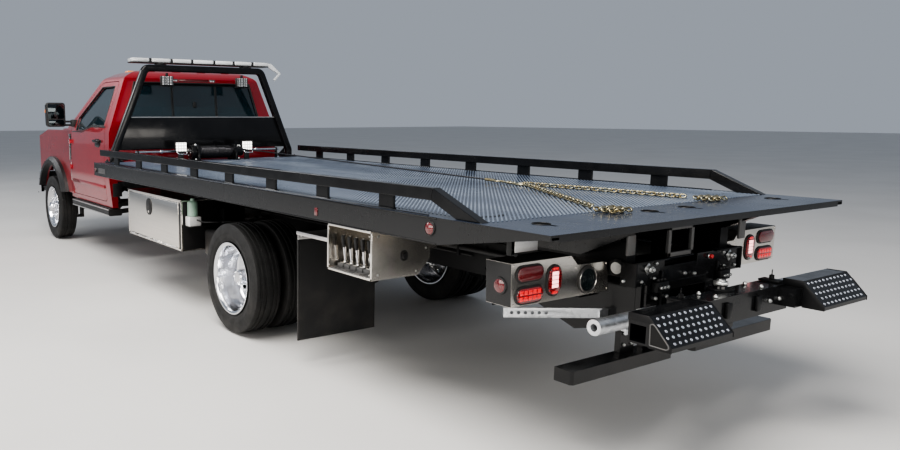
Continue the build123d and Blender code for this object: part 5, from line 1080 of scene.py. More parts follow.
def tail_lights():
    """Lamps in rubber grommets on the stainless panels, whose sides are black, and a blank plate."""
    face = PANEL_FACE
    ovals = ((0.998, 0.876, 0.180, 0.081), (0.996, 0.778, 0.184, 0.084), (0.834, 0.8255, 0.102, 0.150))
    rubbers = [oval(*one, face + 0.0003, face + 0.006, 0.003) for one in ovals]
    dark, *red = [oval(x, z, width - 0.016, height - 0.016, face + 0.004, face + depth, rounding)
                  for (x, z, width, height), depth, rounding in zip(
                      ovals, (0.0125, 0.0105, 0.0115), (0.006, 0.005, 0.005))]
    x, z = ovals[1][:2]
    leds = [block_at(x + column * 0.0285, 0.0115, (face + 0.0095, z + row - 0.0105), (face + 0.0122, z + row + 0.0105))
            for row in (-0.0135, 0.0135) for column in range(-2, 3)]
    x, z = ovals[2][:2]
    leds += [block_at(x, 0.018, (face + 0.010, z + row - 0.006), (face + 0.0122, z + row + 0.006))
             for row in (-0.055, 0.055)]
    hot = [block_at(x, 0.021, (face + 0.010, z + row * 0.0195 - 0.0045), (face + 0.0125, z + row * 0.0195 + 0.0125))
           for row in (-1.5, -0.5, 0.5, 1.5)]
    backup = (0.597, face, 0.802)
    rubbers.append(turned_rear(((0.0655, 0.0003), (0.0665, 0.006), (0.0615, 0.009), (0.053, 0.008), (0.052, 0.003)),
                               backup))
    glass = [disc(0.053, backup[0], backup[2], face + 0.002, face + 0.0045)] + [
        loop(radius, 0.0012, (backup[0], face + 0.0046, backup[2]), (math.pi / 2, 0, 0), 36, 6)
        for radius in (0.014, 0.028, 0.042)]
    marker = (1.1135, 7.738, 0.822)
    edge = ((7.652, 0.9275), (7.7985, 0.9275), (7.7985, 0.7325), (7.652, 0.7325))
    skins = [outlined([(1.1146 - (0.007 if z < 0.8 else 0), y, z) for y, z in edge], (0.0013, 0, 0), 0.0004),
             block((0.718, 7.652, 0.9275), (1.113, 7.7985, 0.9295), 0.0005),
             block((0.436, 7.56, 0.765), (0.476, 7.66, 0.806), 0.003),
             turned([(0, 0.041), (0.006, 0.039), (0.006, 0.031), (0, 0.031)], marker, 36)]
    screws = []
    for x, z in ((1.099, 0.919), (0.73, 0.918), (1.094, 0.742), (0.442, 0.741), (0.458, 0.866), (0.676, 0.866)):
        screws += [disc(0.0048, x, z, face + 0.0002, face + 0.0026, 12, 0.001),
                   disc(0.002, x, z, face + 0.002, face + 0.0029, 6, 0)]
    both_sides("tail_grommets", rubbers, "black_plastic")
    both_sides("tail_dark_lenses", [dark], "red_lamp")
    both_sides("tail_red_lenses", red, "red_lamp", finish="led_red")
    both_sides("tail_leds", leds, "red_lamp", finish="lit_red")
    both_sides("tail_hot_leds", hot, "red_lamp", finish="lit_pink")
    both_sides("tail_backup_glass", glass, "black_plastic", finish="dark_glass")
    both_sides("tail_backup_glint", [turned_rear(((0.062, 0.0085), (0.0605, 0.0098), (0.059, 0.0085)), backup)],
               "polished_stainless")
    both_sides("tail_black_skins", skins, "black_plastic")
    both_sides("tail_side_markers", [
        turned([(0, 0.032), (0.006, 0.031), (0.011, 0.018), (0.0118, TIP), (0, TIP)], marker, 36)],
        "red_lamp", instead_of=["tail_lamps"])
    both_sides("tail_screws", screws, "polished_stainless")
    fit("blank_plate", [
        block((0.949, 7.796, 0.976), (1.095, 7.7985, 1.041), 0.001),
        block((0.949, 7.76, 1.0395), (1.095, 7.798, 1.0415), 0.0008),
        *[disc(0.0035, x, 1.03, 7.7985, 7.8005, 12, 0.001) for x in (0.965, 1.079)]],
        "polished_stainless", "bed", "satin_stainless")
    fit("plate_stem", [block((1.06, 7.74, 0.955), (1.085, 7.77, 1.075)),
                       disc(0.011, 1.072, 0.962, 7.77, 7.787, 16, 0.003)], "gloss_black", "bed")


def tail_fittings():
    """Bolts, plates, hoses' couplings and stops about the tail frame, the hinge and the under-ride bars."""
    back, pin = TAIL_BACK, (7.85, 0.85)
    bright, black, grey = [], [], []
    for sign in SIGNS:
        x = sign * 0.35
        washer = block((-0.022, ORIGIN_Y, -0.022), (0.022, ORIGIN_Y + 0.004, 0.022), 0.001)
        bright.append(placed(washer, (x, back, 0.851), math.radians(38), "Y"))
        bright += hexagons(0.036, 0.022, REAR, (x, back + 0.004, 0.851))
        bright += hexagons(0.018, 0.009, REAR, *[
            (x - sign * dx, back, z) for dx, z in ((0.05, 0.80), (-0.19, 0.815), (-0.05, 0.795), (0.06, 0.872))])
        bright += hexagons(0.02, 0.01, REAR, *[(sign * dx, back, z) for z in (0.64, 0.70) for dx in (0.28, 0.19)])
        bright += hexagons(0.017, 0.008, REAR, *[
            (sign * post, 7.89, z) for post in (0.175, 0.235, 0.355, 0.415) for z in (0.475, 0.53)])
        bright.append(bar(0.03, (sign * 0.44, *pin), (sign * 0.452, *pin), 28, 0.002))
        black.append(bar(0.045, (sign * 0.438, *pin), (sign * 0.444, *pin), 32, 0.002))
        black += [block_at(sign * middle, half, low, high, rounding) for middle, half, low, high, rounding in (
            (0.45, 0.006, (7.88, 0.772), (back + 0.012, 0.886), 0.002),
            (0.3325, 0.1175, (back - 0.002, 0.882), (back + 0.012, 0.89), 0.002),
            (0.24, 0.006, (back, 0.61), (back + 0.01, 0.83), 0.002),
            (0.83, 0.004, (7.856, 0.376), (7.93, 0.429), 0.001),
            (0.115, 0.004, (7.856, 0.376), (7.93, 0.429), 0.001),
            (0.27, 0.045, (7.952, 0.735), (7.985, 0.785), 0.004))]
        grey.append(block_at(sign * 0.475, 0.03, (7.93, 0.925), (7.945, 1.058), 0.006))
        grey.append(block_at(sign * 0.475, 0.03, (7.80, 1.03), (7.94, 1.058), 0.006))
        for x in (sign * 0.27 - 0.025, sign * 0.27, sign * 0.27 + 0.025):
            bright.append(bar(0.0085, (x, 7.985, 0.76), (x, 8.0, 0.76), 6))
            black.append(bar(0.011, (x, 7.97, 0.785), (x, 7.97, 0.80), 6))
    bright.append(disc(0.013, -0.16, 0.864, back, back + 0.008, 20, 0.002))
    bright.append(bar(0.007, (0.10, 7.955, 0.69), (0.085, 7.985, 0.625), 14, 0.002))
    bright += hexagons(0.02, 0.012, REAR, (0.052, back, 0.80), (-0.03, back, 0.79))
    fit("tail_bolts", bright, "bolt_zinc")
    fit("tail_black_fittings", black, "black_frame")
    fit("tail_coupling", [disc(0.011, -0.16, 0.864, back, back + 0.022, 20, 0.002)], "black_plastic",
        finish="red_coupling")
    fit("bed_tail_stops", grey, "black_frame", "bed", "grey_steel")
    fit("bed_socket_rim", [block((x0, 7.936, z0), (x1, 7.953, z1)) for x0, x1, z0, z1 in (
        (-0.013, 0.008, 0.892, 1.043), (0.177, 0.198, 0.892, 1.043), (-0.013, 0.198, 0.892, 0.913),
        (-0.013, 0.198, 1.022, 1.043))], "black_frame", "bed", "grey_steel")


def grip_steps():
    """Raised drain holes in rows down each sloping step, its folded edges and its open end; the holes' pits and the
    open end are near-black plates of painted shade.
    """
    top, foot = Vector((0, 8.296, 0.766)), Vector((0, 8.4, 0.656))
    slope = foot - top
    first = turned([(0, 0.0067), (0.002, 0.006), (0.0028, 0.0047), (0.002, 0.0035), (0, 0.0031)], HUB, 14)
    pit = bar(0.0034, HUB, (0.0006, ORIGIN_Y, 0), 12, 0)
    face = Matrix.Rotation(math.atan2(slope.y, -slope.z), 4, "X") @ Matrix.Rotation(math.pi / 2, 4, "Z")
    rings, pits = [], []
    for row in range(5):
        for column in range(11):
            x = 0.425 + (column + 0.5 * (row % 2)) * 0.0385
            if x <= 0.838:
                spot = top + slope * (0.11 + 0.195 * row)
                place = Matrix.Translation(at((x, spot.y, spot.z))) @ face
                rings.append(copy_at(first, place))
                pits.append(copy_at(pit, place))
    discard(first, pit)
    both_sides("step_collars", rings, "step_bright", "crossbar", None, 50)
    # The pits are thin near-black discs: painted shade in the holes.
    both_sides("step_pits", pits, "dark_gap", "crossbar")
    cheek = ((8.202, 0.735), (8.202, 0.768), (8.297, 0.7685), (8.402, 0.6575), (8.402, 0.636), (8.30, 0.636),
             (8.30, 0.735))
    both_sides("step_cheeks", [outlined([(x, y, z) for y, z in cheek], (0.004, 0, 0)) for x in (0.398, 0.848)]
               + [bar(0.004, (0.4, 8.296, 0.763), (0.85, 8.296, 0.763), 12)], "black_frame", "crossbar")
    ring = ((8.308, 0.650), (8.306, 0.735), (8.318, 0.7395), (8.328, 0.733), (8.388, 0.667), (8.391, 0.655),
            (8.38, 0.648))
    # A near-black plate fills the open end as painted shade.
    both_sides("step_end_mouth", [outlined([(0.8525, y, z) for y, z in ring], (0.0008, 0, 0), 0)],
               "black_frame", "crossbar", "dark_gap")
    both_sides("step_end_rim", bars(0.0028, [(0.8535, y, z) for y, z in ring + ring[:1]], 8, 0),
               "black_frame", "crossbar", "grey_steel")


def lift_fittings():
    """Swivel nut, stops and pins on the crossbar, its end tubes, and the boom's bolts and collar."""
    bright = hexagons(0.075, 0.02, UP, (0, 8.11, 0.7605))
    black = [bar(0.06, (0, 8.11, 0.7402), (0, 8.11, 0.7455), 36)]
    boom = []
    for sign in SIGNS:
        x = sign * 0.395
        bright += hexagons(0.022, 0.011, UP, (sign * 0.2, 8.12, 0.7402), (sign * 0.2, 8.2, 0.7402))
        bright += hexagons(0.022, 0.011, REAR, (sign * 0.33, 8.22, 0.675), (sign * 0.24, 8.22, 0.675))
        black += [block_at(sign * 0.13, 0.02, (8.221, 0.64), (8.236, 0.712), 0.003),
                  block_at(x, 0.03, (8.098, 0.742), (8.2, 0.752)),
                  bar(0.012, (x, 8.15, 0.752), (x, 8.15, 0.775), 20, 0.002),
                  loop(0.016, 0.0022, (x, 8.15, 0.785), (math.pi / 2, 0, 0.4), 24, 6)]
        boom += hexagons(0.018, 0.008, (sign, 0, 0), *[
            (sign * 0.08, y, z) for z in (0.557, 0.673) for y in (7.74, 7.5)])
    fit("lift_bolts", bright, "bolt_zinc", "crossbar")
    fit("lift_black_fittings", black, "black_frame", "crossbar")
    tube = ((0.0, 0.0352), (0.002, 0.0365), (0.452, 0.0365), (0.4602, 0.0365), (0.4612, 0.0352), (0.4612, 0.0185),
            (0.4602, 0.0172), (0.43, 0.0172), (0.43, 0.0272), (0.0, 0.0272))
    both_sides("dressed_lift_tubes", [
        turned(tube, (0.39, 8.04, 0.66), 20),
        turned([(0.09, 0.0366), (0.092, 0.0395), (0.128, 0.0395), (0.13, 0.0366)], (0.39, 8.04, 0.66), 20),
        block((0.6, 8.025, 0.61), (0.64, 8.055, 0.626), 0.004),
        bar(0.008, (0.62, 8.04, 0.592), (0.62, 8.04, 0.612), 14, 0.002),
        block((0.39, 8.041, 0.641), (0.421, 8.0995, 0.679))],
        "galvanised", "crossbar", None, 25, ["lift_tubes"])
    fit("boom_bolts", boom, "bolt_zinc", "lift_arm")
    fit("boom_collar", [block_at(x, half, (7.76, low), (7.80, high)) for x, half, low, high in (
        (0, 0.087, 0.533, 0.545), (0, 0.087, 0.686, 0.697), (-0.0835, 0.004, 0.533, 0.697),
        (0.0835, 0.004, 0.533, 0.697))] + [bar(0.005, (0, y, 0.69), (0, y, 0.702), 10) for y in (6.8, 7.1, 7.4)],
        "black_frame", "lift_arm")


# Boxes, flaps and fittings under the bed

BOX_FACE = 1.188
BOX_Y = (3.21, 4.42)
BOX_Z = (0.49, 0.90)
CONTROL_Y = (6.46, 6.88)
CONTROL_Z = (0.69, 0.96)


def frame_strips(x0, x1, y0, y1, z0, z1, tops, ends, rounding):
    """Four strips round a rectangle that faces sideways, each with its own width."""
    low, high = tops
    front, rear = ends
    return [block((x0, *a), (x1, *b), rounding) for a, b in (
        ((y0, z1 - high), (y1, z1)), ((y0, z0), (y1, z0 + low)),
        ((y0, z0), (y0 + front, z1)), ((y1 - rear, z0), (y1, z1)))]


def toolbox_dress():
    """Polished sheet skins, frame strips, a paddle latch in a black bezel and hinge knuckles."""
    (y0, y1), (z0, z1), face = BOX_Y, BOX_Z, BOX_FACE
    both_sides("toolbox_rims", frame_strips(face - 0.001, face + 0.0035, y0, y1, z0, z1, (0.016, 0.017),
                                            (0.017, 0.017), 0.001)
               + [block((face - 0.002, y0 - 0.004, z1 - 0.002), (face + 0.008, y1 + 0.004, z1 + 0.004), 0.0015)],
               "polished_stainless")
    both_sides("toolbox_seals", [
        block((face - 0.0005, y1 - 0.050, z0 + 0.018), (face + 0.0045, y1 - 0.0172, z1 - 0.018), 0.0002),
        block((face - 0.0005, y0 + 0.0172, z0 + 0.018), (face + 0.0008, y0 + 0.0215, z1 - 0.018), 0.0002)],
        "black_plastic")
    knuckles = [y0 + 0.075 + k * 0.185 for k in range(6)]
    both_sides("toolbox_knuckles", [
        bar(0.0065, (face + 0.0075, y, z0 + 0.015), (face + 0.0075, y + 0.09, z0 + 0.015), 14) for y in knuckles],
        "polished_stainless", finish="satin_stainless")
    both_sides("toolbox_door_panels", [
        block((face + 0.002, y0 + 0.0215, z0 + 0.0195), (face + 0.004, y1 - 0.0505, z1 - 0.0185), 0.0008),
        block((face + 0.0035, y0 + 0.028, z0 + 0.026), (face + 0.0062, y1 - 0.057, z1 - 0.025), 0.0024, 3)],
        "polished_stainless", "toolbox_door_SIDE")
    y, z = 3.738, 0.788
    both_sides("toolbox_latches", [
        side_oval(0.12, 0.146, 0.006, 0.003, (face + 0.006, y, z)),
        block((face + 0.011, y - 0.038, z - 0.02), (face + 0.017, y + 0.038, z + 0.052), 0.005)],
        "black_plastic", "toolbox_door_SIDE")
    both_sides("toolbox_locks", [bar(0.011, (face + 0.011, y, z - 0.044), (face + 0.0155, y, z - 0.044), 20)],
               "polished_stainless", "toolbox_door_SIDE")


def control_box_dress():
    """Levers with bright shafts and black grips, floor plate with slots, valve bank, rim and grommet."""
    (y0, y1), (z0, z1) = CONTROL_Y, CONTROL_Z
    levers = [(y0 + y1) / 2 + (k - 2.5) * 0.062 for k in range(6)]
    grip = ((0.0, 0.008), (0.008, 0.0105), (0.045, 0.0125), (0.066, 0.0115), (0.072, 0.007), (0.0735, TIP),
            (0.0, TIP))
    grips, shafts, valves, hoses = [], [], [], []
    for y in levers:
        shafts += [bar(0.0062, (1.082, y, z0 + 0.042), (1.094, y, z0 + 0.135), 14),
                   bar(0.012, (1.08, y, z0 + 0.04), (1.0805, y, z0 + 0.05), 16, 0.002)]
        grips.append(placed(turned(grip, HUB, 16), (1.093, y, z0 + 0.128), -math.pi / 2 + 0.12, "Y"))
        valves.append(block((1.04, y - 0.026, z0 + 0.012), (1.12, y + 0.026, z0 + 0.037), 0.003))
        hoses += bars(0.0075, [(x, y, z0 + dz) for x, dz in ((1.0, 0.07), (0.97, 0.115), (0.92, 0.12), (0.87, 0.10))],
                      10, 0)
    valves.append(block((0.98, y0 + 0.014, z0 + 0.0125), (1.168, y1 - 0.014, z0 + 0.0155), 0.001))
    both_sides("control_grips", grips, "black_plastic")
    both_sides("control_shafts", shafts, "cylinder_chrome")
    both_sides("control_valves", valves, "black_frame", finish="grey_steel")
    # The slots are near-black strips of painted shade.
    both_sides("control_slots", [
        block((x - 0.004, y - 0.042, z0 + 0.0155), (x + 0.004, y + 0.042, z0 + 0.0162), 0)
        for x in (1.132, 1.154) for y in (y0 + 0.075, y0 + 0.205, y0 + 0.335)], "black_frame", finish="dark_gap")
    both_sides("control_fittings", [bar(0.009, (1.0, y, z0 + 0.03), (1.0, y, z0 + 0.075), 6) for y in levers],
               "bolt_zinc")
    both_sides("control_hoses", hoses, "hose_rubber")
    both_sides("control_rims", frame_strips(1.166, 1.1725, y0, y1, z0, z1, (0.0125, 0.0125), (0.0125, 0.0125), 0.0012)
               + [bar(0.0045, (1.1715, y, z), (1.1745, y, z), 12)
                  for y in (y0 + 0.02, y1 - 0.02) for z in (z0 + 0.03, z1 - 0.03)], "polished_stainless")
    both_sides("control_grommets", [
        loop(0.024, 0.0055, (0.95, y1 + 0.001, 0.81), (math.pi / 2, 0, 0), 32, 8),
        disc(0.016, 0.95, 0.81, y1 - 0.01, y1 + 0.012, 20, 0.003)], "black_plastic")
    both_sides("control_rear_bolts", [disc(0.006, x, z, y1, y1 + 0.003, 12, 0.001) for x, z in (
        (1.13, 0.72), (1.13, 0.93), (0.80, 0.93), (0.86, 0.715), (0.79, 0.84))],
        "polished_stainless", finish="bolt_zinc")


def flap_dress():
    """Bolts and clamping strip of the mud flaps, their raised border, and the shelf's bright edge."""
    y = 6.124
    both_sides("flap_strips", [block((0.557, y, 0.815), (1.163, y + 0.005, 0.856), 0.001)], "satin_stainless")
    both_sides("flap_bolts", hexagons(0.016, 0.007, REAR, *[
        (0.585 + k * 0.0917, y + 0.005, 0.836) for k in range(7)]), "bolt_zinc")
    both_sides("flap_borders", [block((x0, y, z0), (x1, y + 0.003, z1), 0.001) for x0, x1, z0, z1 in (
        (0.56, 0.57, 0.175, 0.81), (1.15, 1.16, 0.175, 0.81), (0.56, 1.16, 0.173, 0.183))], "flap_rubber")
    both_sides("flap_shelf_edges", [block((0.56, 6.127, 0.851), (1.166, 6.4595, 0.8625), 0.001),
                                    block((1.161, 6.114, 0.846), (1.1665, 6.4595, 0.868), 0.001)],
               "satin_stainless")


def bottles():
    """A green-grey canister and a white box on a bracket behind the toolbox, on the left, with hoses."""
    fit("bottle_tray", [
        block((0.86, 4.425, 0.693), (1.16, 4.53, 0.70)), block((0.86, 4.425, 0.693), (0.866, 4.53, 0.82)),
        block((0.62, 4.4215, 0.50), (1.178, 4.4235, 0.89), 0.0005), block((0.44, 4.50, 0.70), (0.88, 4.545, 0.715))],
        "black_frame")
    can = turned([(0.0, TIP), (0.0, 0.036), (0.004, 0.042), (0.11, 0.042), (0.122, 0.034), (0.128, 0.018),
                  (0.14, 0.018), (0.143, 0.016), (0.144, TIP)], HUB, 36)
    fit("can", [placed(can, (1.115, 4.474, 0.776), -math.pi / 2, "Y")], "black_plastic", finish="green_bottle")
    fit("white_box", [block((1.06, 4.432, 0.70), (1.162, 4.515, 0.776), 0.006)], "black_plastic",
        finish="blank_plate")
    fit("bottle_lines", [one for points in (
        ((1.115, 4.474, 0.905), (1.09, 4.48, 0.93), (0.95, 4.50, 0.935), (0.80, 4.52, 0.90), (0.5, 4.55, 0.87)),
        ((1.10, 4.51, 0.75), (1.06, 4.56, 0.735), (0.92, 4.60, 0.73), (0.6, 4.62, 0.72), (0.44, 4.62, 0.70)))
        for one in bars(0.006, points)], "hose_rubber")


def chassis_fittings():
    """Frame bolts, U-bolts, leaf clamps and cable looms seen below the bed."""
    bright, black, looms = [], [], []
    for sign in SIGNS:
        black += hexagons(0.022, 0.01, (sign, 0, 0), *[
            (sign * 0.4347, y, z) for y in (2.3, 2.9, 3.3, 3.9, 4.3, 4.6, 6.0, 6.5, 7.0, 7.4) for z in (0.70, 0.82)])
        bright += [bar(0.009, (sign * x, y, 0.42), (sign * x, y, 0.60), 12)
                   for y in (WHEELBASE - 0.06, WHEELBASE + 0.06) for x in (0.505, 0.575)]
        black.append(block_at(sign * 0.54, 0.055, (WHEELBASE - 0.09, 0.585), (WHEELBASE + 0.09, 0.602), 0.003))
        black += [block_at(sign * 0.54, 0.046, (y - 0.02, 0.555), (y + 0.02, 0.64), 0.003) for y in (4.75, 5.68)]
        black += [block_at(sign * 0.455, 0.018, (y - 0.008, 0.755), (y + 0.008, 0.818))
                  for y in (2.6, 3.2, 3.8, 4.4, 6.2, 6.8, 7.4)]
        looms += [disc(0.014, sign * 0.455, 0.80, 2.3, 7.5, 12, 0), disc(0.006, sign * 0.45, 0.765, 2.3, 6.9, 10, 0)]
    fit("frame_bolts", black, "black_frame")
    fit("u_bolts", bright, "bolt_zinc")
    fit("frame_looms", looms, "hose_rubber")


# Cab

WINDOW = ((0.96, 1.398), (1.25, 1.398), (1.52, 1.462), (1.94, 1.462), (1.91, 1.88), (1.49, 1.88), (0.96, 1.54))
SILL = ((0.85, 1.386), (1.25, 1.386), (1.52, 1.45), (1.985, 1.45))


def side_x(z):
    """How far the cab's side stands from the centre line at a height."""
    stations = ((0.6, 0.986), (0.9, 1.015), (1.33, 1.003), (1.46, 0.978), (1.975, 0.79))
    for (z0, x0), (z1, x1) in zip(stations, stations[1:]):
        if z <= z1:
            return x0 + (x1 - x0) * (z - z0) / (z1 - z0)
    return stations[-1][1]


def back_y(z):
    """Where the cab's back stands at a height."""
    return 2.16 - max(0.0, z - 1.46) * 0.107


def strip(points, width):
    """A round strip laid from point to point, with a ball at each turn."""
    return bars(width, points, 10, 0) + [
        settle(fresh(bpy.ops.mesh.primitive_uv_sphere_add, segments=10, ring_count=6, radius=width,
                     location=at(point))) for point in points[1:]]


def doors_dress():
    """Window seals, sill moulding, black cup handles, lower guards and the mirrors."""
    both_sides("door_seals", strip([(side_x(z) - 0.003, y, z) for y, z in WINDOW + WINDOW[:1]], 0.0075)
               + strip([(side_x(z) + 0.002, y, z) for y, z in SILL], 0.0085), "black_plastic", "door_SIDE")
    both_sides("door_handles", [
        block((0.998, 1.692, 1.281), (1.037, 1.873, 1.312), 0.008, 3),
        block((0.998, 1.878, 1.281), (1.012, 1.915, 1.312), 0.006),
        side_oval(0.185, 0.088, 0.004, 0.002, (1.0045, 1.78, 1.276))], "black_plastic", "door_SIDE", "gloss_black")
    both_sides("door_lower_guards", [block((1.012, 0.83, 0.795), (1.0185, 1.99, 0.83), 0.003)],
               "cab_red", "door_SIDE")
    x0, x1 = 1.085, 1.299
    both_sides("mirror_glasses", [block((x0 + 0.016, 0.8852, 1.535), (x1 - 0.016, 0.8875, 1.702), 0.001),
                                  block((x0 + 0.02, 0.8852, 1.456), (x1 - 0.02, 0.8875, 1.522), 0.001)],
               "mirror_glass", "door_SIDE")
    both_sides("mirror_cases", [
        block((x0 + 0.004, 0.872, 1.446), (x1 - 0.004, 0.8856, 1.714), 0.012, 3),
        block((x0 - 0.002, 0.806, 1.452), (x1 + 0.002, 0.85, 1.708), 0.02, 4),
        block((x0 + 0.012, 0.884, 1.5235), (x1 - 0.012, 0.8885, 1.5335), 0.001),
        block((0.945, 0.835, 1.44), (1.02, 0.905, 1.525), 0.012)], "black_plastic", "door_SIDE")
    both_sides("mirror_lamps", [block((x1 - 0.03, 0.8, 1.60), (x1 + 0.0035, 0.835, 1.64), 0.006)],
               "amber_lamp", "door_SIDE")


def cab_back_dress():
    """Rear window seal and slider, high brake lamp, bed lamps, roof lamps and ribs, antenna and vents."""
    half, low, high = 0.80, 1.50, 1.92
    top = half - 0.11
    lamp = back_y(1.955)
    ring = ((-half, low), (half, low), (top, high), (-top, high), (-half, low))
    seal = strip([(x, back_y(z) - 0.006, z) for x, z in ring], 0.011)
    seal += [bar(0.005, (x, back_y(low) - 0.014, low), (x, back_y(high) - 0.014, high), 8, 0)
             for x in (-0.27, -0.255, 0.255, 0.27)]
    seal += [bar(0.006, (-x, back_y(z) - 0.014, z), (x, back_y(z) - 0.014, z), 8, 0)
             for x, z in ((half - 0.02, 1.53), (top, 1.9))]
    seal.append(block_at(0, 0.02, (back_y(1.7) - 0.02, 1.66), (back_y(1.7) - 0.004, 1.72), 0.004))
    fit("rear_window_seal", seal, "black_plastic")
    fit("high_brake_lamp", [block_at(0, 0.18, (lamp - 0.012, 1.938), (lamp + 0.006, 1.968), 0.005)], "red_lamp")
    fit("cab_bed_lamps", [block_at(x, 0.035, (lamp - 0.012, 1.94), (lamp + 0.005, 1.966), 0.004)
                          for x in (-0.225, 0.225)], "clear_lamp", finish="led_white")
    fit("roof_marker_lamps", [block_at(x, 0.045, (1.60, 2.034), (1.70, 2.0625), 0.011, 3)
                              for x in (-0.56, -0.28, 0.0, 0.28, 0.56)], "amber_lamp")
    fit("roof_ribs", [block_at(x, 0.05, (1.75, 2.046), (1.99, 2.0535), 0.006, 3)
                      for x in (-0.45, -0.15, 0.15, 0.45)], "cab_red")
    fit("antenna", [bar(0.014, (-0.93, 0.55, 1.397), (-0.93, 0.55, 1.412), 20, 0.003),
                    bar(0.0022, (-0.93, 0.55, 1.41), (-0.945, 0.66, 1.98), 8, 0)], "black_plastic")
    fit("cab_back_vents", [block_at(x, 0.05, (2.1585, 0.72), (2.163, 0.86)) for x in (-0.93, 0.93)],
        "black_plastic")


def fender_dress():
    """Louvred vents and bright strips at the fenders, flare rivets, and the running boards' treads."""
    slats = [block((0.9995, 0.715, 1.05), (1.0045, 0.778, 1.355), 0.003)]
    rivets, pads = [], []
    for k in range(9):
        z = 1.075 + k * 0.031
        slats.append(outlined([(1.0045, 0.722, z), (1.0045, 0.722, z + 0.016), (1.0125, 0.722, z)], (0, 0.05, 0),
                              0.0008))
        turn = math.radians(14 + k * 19)
        y, z = -0.605 * math.cos(turn), AXLE_Z + 0.605 * math.sin(turn)
        rivets.append(bar(0.008, (1.075, y, z), (1.082, y, z), 12, 0.002))
        y = 0.93 + k * 0.13
        pads.append(block((0.90, y, 0.5895), (1.015, y + 0.1, 0.5945)))
        pads += [block((x, y + 0.006, 0.594), (x + 0.008, y + 0.094, 0.597), 0.001)
                 for x in (0.918, 0.945, 0.972, 0.999)]
    both_sides("fender_vents", slats, "black_plastic")
    both_sides("fender_bright_strips", [block((0.9995, 0.706, 1.045), (1.0085, 0.7145, 1.36)),
                                        block((0.9995, 0.742, 0.80), (1.006, 0.758, 1.04), 0.003)],
               "chrome_bumper")
    both_sides("flare_rivets", rivets, "black_plastic")
    both_sides("board_bright_edges", [block((1.026, 0.836, z - 0.006), (1.0335, 2.144, z + 0.006))
                                      for z in (0.523, 0.582)], "satin_stainless")
    both_sides("board_tread_pads", pads, "black_plastic")


def grille_dress():
    """Bright frame and bars of the grille before its dark mesh."""
    y, pitch = GRILLE_Y, 0.1117
    bright = [block((x0, y - 0.012, z0), (x1, y + 0.01, z1), 0.004) for x0, x1, z0, z1 in (
        (-0.572, 0.572, 0.858, 0.878), (-0.572, 0.572, 1.254, 1.276), (-0.572, -0.552, 0.86, 1.275),
        (0.552, 0.572, 0.86, 1.275))]
    for k in range(3):
        z = 0.9 + pitch * (k + 0.5)
        bright.append(block_at(0, 0.535, (y - 0.008, z - 0.017), (y + 0.006, z + 0.017), 0.006, 3))
    mesh = [block_at(-0.52 + m * 0.04, 0.003, (y + 0.02, 0.87 + pitch * k), (y + 0.036, 0.93 + pitch * k), 0)
            for k in range(4) for m in range(27)]
    fit("grille_bright", bright, "chrome_bumper")
    fit("grille_mesh", mesh + [block_at(0, 0.53, (y + 0.036, 0.9), (y + 0.039, 1.234), 0)], "black_plastic")


def headlamp_dress():
    """Headlamp cases with two pairs of projectors, light blades and an amber lamp."""
    y = GRILLE_Y
    places = [(x, z) for x in (0.65, 0.75) for z in (1.16, 1.05)]
    both_sides("headlamp_cases", [block((0.572, y + 0.01, 0.962), (0.938, y + 0.118, 1.238), 0.018, 3)],
               "black_plastic", finish="gloss_black")
    both_sides("headlamp_reflectors", [disc(0.045, x, z, y + 0.006, y + 0.012, 32, 0.003) for x, z in places] + [
        block((0.59, y + 0.004, 1.205), (0.90, y + 0.011, 1.222), 0.003),
        block((0.81, y + 0.004, 0.99), (0.83, y + 0.011, 1.222), 0.003)], "polished_aluminium")
    both_sides("headlamp_lenses", [disc(0.0279, x, z, y + 0.002, y + 0.008, 28, 0.006) for x, z in places],
               "clear_lamp", instead_of=["headlamps"])
    both_sides("headlamp_ambers", [block((0.845, y + 0.002, 0.985), (0.925, y + 0.011, 1.19), 0.006)],
               "amber_lamp")


def bumper_dress():
    """The bumper's duct with its bars, top pad, plate bracket, valance, tow hooks and fog lamps."""
    black = [block_at(0, 0.42, (-0.9725, 0.58), (-0.9695, 0.65), 0.003),
             block_at(0, 0.59, (-0.95, 0.809), (-0.85, 0.8165), 0.003),
             block_at(0, 0.17, (-0.976, 0.675), (-0.9695, 0.79), 0.003),
             block_at(0, 0.62, (-0.93, 0.49), (-0.885, 0.545), 0.008)]
    black += [block_at(0, 0.41, (-0.976, z - 0.003), (-0.971, z + 0.003), 0.001) for z in (0.595, 0.615, 0.635)]
    black += [loop(0.035, 0.011, (x, -0.963, 0.60), (0, math.pi / 2, 0), 24) for x in (-0.52, 0.52)]
    fit("bumper_black", black, "black_plastic")
    fit("fog_lamps", [placed(disc(0.042, 0, 0, ORIGIN_Y, ORIGIN_Y + 0.02, 28, 0.006), (sign * 0.73, -0.967, 0.67),
                             sign * math.radians(24)) for sign in SIGNS], "clear_lamp")


def cowl_dress():
    """The cowl with its louvres and wipers, which follow the windscreen's slope, and the hood's creases."""
    slope = (1.98 - 1.43) / (1.43 - 0.64)
    cowl = [block_at(0, 0.86, (0.628, 1.425), (0.652, 1.44), 0.004)]
    cowl += [block_at(-0.765 + k * 0.09, 0.03, (0.632, 1.4385), (0.648, 1.4435)) for k in range(18)]
    for x in (-0.62, 0.06):
        cowl += [
            bar(0.014, (x, 0.64, 1.436), (x, 0.65, 1.462), 16, 0.003),
            bar(0.007, (x, 0.655, 1.442 + slope * 0.015), (x + 0.261, 0.69, 1.448 + slope * 0.05), 10),
            bar(0.006, (x + 0.06, 0.675, 1.44 + slope * 0.035), (x + 0.58, 0.72, 1.442 + slope * 0.08), 8)]
    fit("cowl_and_wipers", cowl, "black_plastic")
    fit("hood_creases", [bar(0.004, (x, 0.40, 1.43), (x, -0.25, 1.418), 8, 0) for x in (-0.43, 0.43)],
        "cab_red", "hood")


